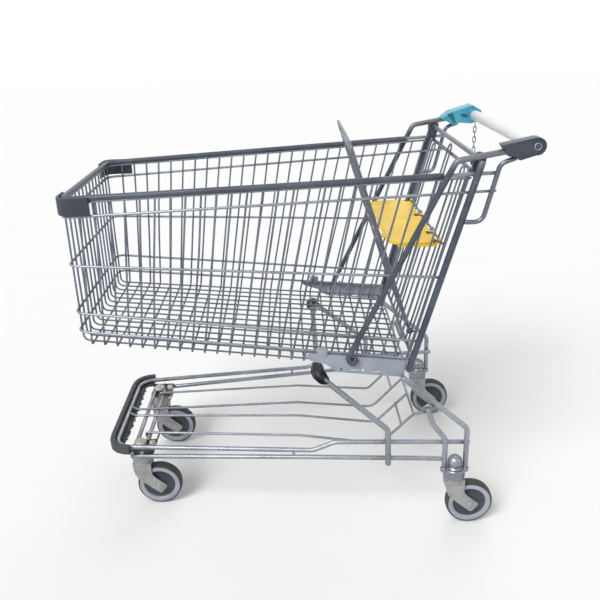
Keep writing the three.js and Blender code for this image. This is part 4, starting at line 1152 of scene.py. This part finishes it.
# castor housings under the rear posts, and the front brackets
housing = {
    "place": (392.5, 279), "ears": (365, 420),
    "profile": ((0, 198.6), (4.5, 198.6), (5.4, 200.8), (7.5, 201.7), (12, 200), (16.4, 195.6), (18.4, 190),
                (17, 188.6), (17, 187.2), (19, 185.8), (19.4, 179), (17.6, 175.6), (17.6, 172), (20.5, 168.2),
                (26.5, 167.6), (28, 166), (28, 144), (27, 140.4), (0, 140.4)),
    "ear": ((0, 168.2), (8.6, 168.2), (9.6, 167), (9.6, 157), (8, 155), (0, 155)),
}
bracket = {
    "place": (-448, 154),
    "barrel": ((0, 182), (20, 182), (24.5, 180), (27, 176), (28, 170), (28, 144), (27, 140.4), (0, 140.4)),
    "disc": ((0, 203.6), (4.6, 203.4), (5.6, 202), (6, 200.8), (10.5, 200), (14.6, 198), (17, 195),
             (17.6, 191.6), (16.4, 188.8), (13, 187.5), (13, 181), (0, 181)),
    "dome": ((0, 200), (4, 199.6), (7.6, 197.8), (9.6, 194.6), (10, 190), (9, 186), (9, 181), (0, 181)),
    "domePlace": (-415, 158), "web": ((-470, 124, 177), (-407, 185, 184)),
    "block": ((-472, 183, 176), (-408, 189.5, 189)), "bolts": (-465, -438), "boltOut": 191,
    "boltHeight": 182.5, "bolt": 6.4, "boltThick": 5,
}


def hexHead(name, x, y, z):
    bpy.ops.object.select_all(action="DESELECT")
    radius, depth = bracket["bolt"] * mm, bracket["boltThick"] * mm
    bpy.ops.mesh.primitive_cylinder_add(vertices=6, radius=radius, depth=depth)
    piece = bpy.context.object
    piece.name = name
    turn = Matrix.Translation((Vector((x, y, z)) + origin) * mm) @ Matrix.Rotation(math.pi / 2, 4, "X")
    piece.data.transform(turn)
    return rounded(piece, 0.6, 2)


def setHousing(name, side):
    x, y = housing["place"]
    pieces = [spinProfile("castorHousing", housing["profile"], (x, side * y, 0), "Z", 40)]
    pieces += [spinProfile("ear", housing["ear"], (ear, side * y, 0), "Z", 24) for ear in housing["ears"]]
    settle(joined(f"castorHousing_{name}", pieces), "zinc", f"castor_housing_rear_{name}")


def setBracket(name, side):
    x, y = bracket["place"]
    domeX, domeY = bracket["domePlace"]
    barrel = spinProfile(f"frontBracket_{name}", bracket["barrel"], (x, side * y, 0), "Z", 40)
    settle(barrel, "castZinc", f"castor_plate_front_{name}")
    discs = [spinProfile("disc", bracket["disc"], (x, side * y, 0), "Z", 40),
             spinProfile("dome", bracket["dome"], (domeX, side * domeY, 0), "Z", 28)]
    settle(joined(f"bracketDiscs_{name}", discs), "tingedZinc")
    blocks = []
    for part in ("web", "block"):
        (lowX, lowY, lowZ), (highX, highY, highZ) = bracket[part]
        near, far = sorted((side * lowY, side * highY))
        blocks.append(box("block", (lowX, near, lowZ), (highX, far, highZ), 1))
    settle(joined(f"bracketBlock_{name}", blocks), "bumperPlastic")
    heads = [hexHead("bracketBolts", bolt, side * bracket["boltOut"], bracket["boltHeight"])
             for bolt in bracket["bolts"]]
    settle(joined(f"bracketBolts_{name}", heads), "zinc")


for name, side in sides.items():
    setHousing(name, side)
    setBracket(name, side)
print("castors set")


# lower tray: wires hooked on the front tubes and round the rear posts
tray = {
    "wire": 3.5, "cross": (-459, -430), "crossHeight": 190, "crossHalf": 143, "crossRadius": 6,
    "inner": ((-503, 17, 206), (-492, 17, 197), (-10, 38, 192), (213, 44, 165), (303, 46, 258)),
    "innerBend": 40,
    "outer": ((-439.5, 112, 184), (-439.5, 112, 198), (-10, 143, 192), (213, 157, 165), (303, 160, 258),
              (305, 225, 298), (305, 262, 328), (309, 270, 345), (318, 272, 351), (328, 273, 344)),
    "outerBend": 26, "stub": ((270, 162, 226), (270, 40, 226)), "rod": (303, 160, 258), "rodRadius": 4,
    "hoop": ((-399, 118, 194), (-410, 113, 172), (-413, -113, 171), (-402, -118, 194)), "hoopBend": 8,
    "hoopRadius": 2.5,
}


def layTray():
    wires = []
    for side in (-1, 1):
        for part in ("inner", "outer"):
            wires.append(bendRoute(sided(tray[part], side), tray[part + "Bend"], 6))
        wires.append(sided(tray["stub"], side))
    cross = [acrossBoth([(x, tray["crossHalf"], tray["crossHeight"])]) for x in tray["cross"]]
    hoop = bendRoute(tray["hoop"], tray["hoopBend"], 4)
    pieces = [drawTubes("trayRack", wires, tray["wire"], 10),
              drawTubes("cross", cross, tray["crossRadius"], 16),
              drawTubes("rod", [acrossBoth([tray["rod"]])], tray["rodRadius"], 12),
              drawTubes("hoop", [hoop], tray["hoopRadius"], 8)]
    settle(joined("trayRack", pieces), "zinc", "tray_rack")


layTray()
print("tray laid")


# trim on the handle: the cap's ridge and screw, and painted shade for the lock's slot and recess
trim = {
    "screw": ((0, -302.4), (2.2, -302.2), (4.2, -301), (4.4, -299.5), (0, -299.5)),
    "ring": ((5.6, -299.5), (5.6, -301.2), (6.2, -301.8), (7.8, -301.8), (8.6, -301), (8.6, -299.5)),
    "socket": ((14.3, 242.5), (17.4, 242.5), (19, 244), (19, 247), (14.3, 247)), "ridge": 1.2,
    "ridgeY": -300.1, "ridgeStart": (451, 999), "ridgeEnd": (479, 974), "ridgeNose": 16.3,
    "ridgeTurn": (99, -207), "ridgeSteps": 16,
    "skirt": ((441, 999.6), (486.5, 965.6), (521, 975.4), (515, 984), (470, 1000)),
    "skirtSpan": (-299.5, -296), "slot": (493, 994.8, 10.5, 5.4), "slotSlope": 0.2, "slotPoints": 20,
    "recess": ((443, 1000), (460, 1003), (470, 976), (463, 974)), "shadeSpan": (245.6, 248),
}


def trimHandle():
    x, z = rear["handle"]
    settle(spinProfile("capScrew", trim["screw"], (x, 0, z), "Y", 24), "chainSteel")
    settle(spinProfile("capRing", trim["ring"], (x, 0, z), "Y", 32, True), "zinc")
    start, sweep = trim["ridgeTurn"]
    line = [trim["ridgeStart"]]
    for k in range(trim["ridgeSteps"] + 1):
        turn = math.radians(start + sweep * k / trim["ridgeSteps"])
        line.append((x + trim["ridgeNose"] * math.cos(turn), z + trim["ridgeNose"] * math.sin(turn)))
    line.append(trim["ridgeEnd"])
    ridge = [Vector((lineX, trim["ridgeY"], lineZ)) for lineX, lineZ in line]
    skirt = standPlate("capRidge", trim["skirt"], *trim["skirtSpan"], 1)
    settle(joined("capRidge", [drawTubes("ridge", [ridge], trim["ridge"], 8), skirt]), "slatePlastic")
    settle(spinProfile("lockSocket", trim["socket"], (x, 0, z), "Y", 40, True), "tealPlastic")
    slotX, slotZ, wide, tall = trim["slot"]
    oval = []
    for turn in turns(trim["slotPoints"]):
        out = wide * math.cos(turn)
        oval.append((slotX + out, slotZ + tall * math.sin(turn) - trim["slotSlope"] * out))
    # flat dark teal plates in place of the slot and the recess: painted shade
    settle(standPlate("lockSlot", oval, *trim["shadeSpan"], 0), "tealPaintedShade")
    settle(standPlate("lockRecess", trim["recess"], *trim["shadeSpan"], 0), "tealPaintedShade")


trimHandle()


# finishes on the nodes themselves
for part in frame["record"]["subparts"]:
    skin = nodes[part["node"]].data
    skin.materials.clear()
    skin.materials.append(finishes[slotFinishes[part["material_slot"]][0]])
print("all pieces finished")
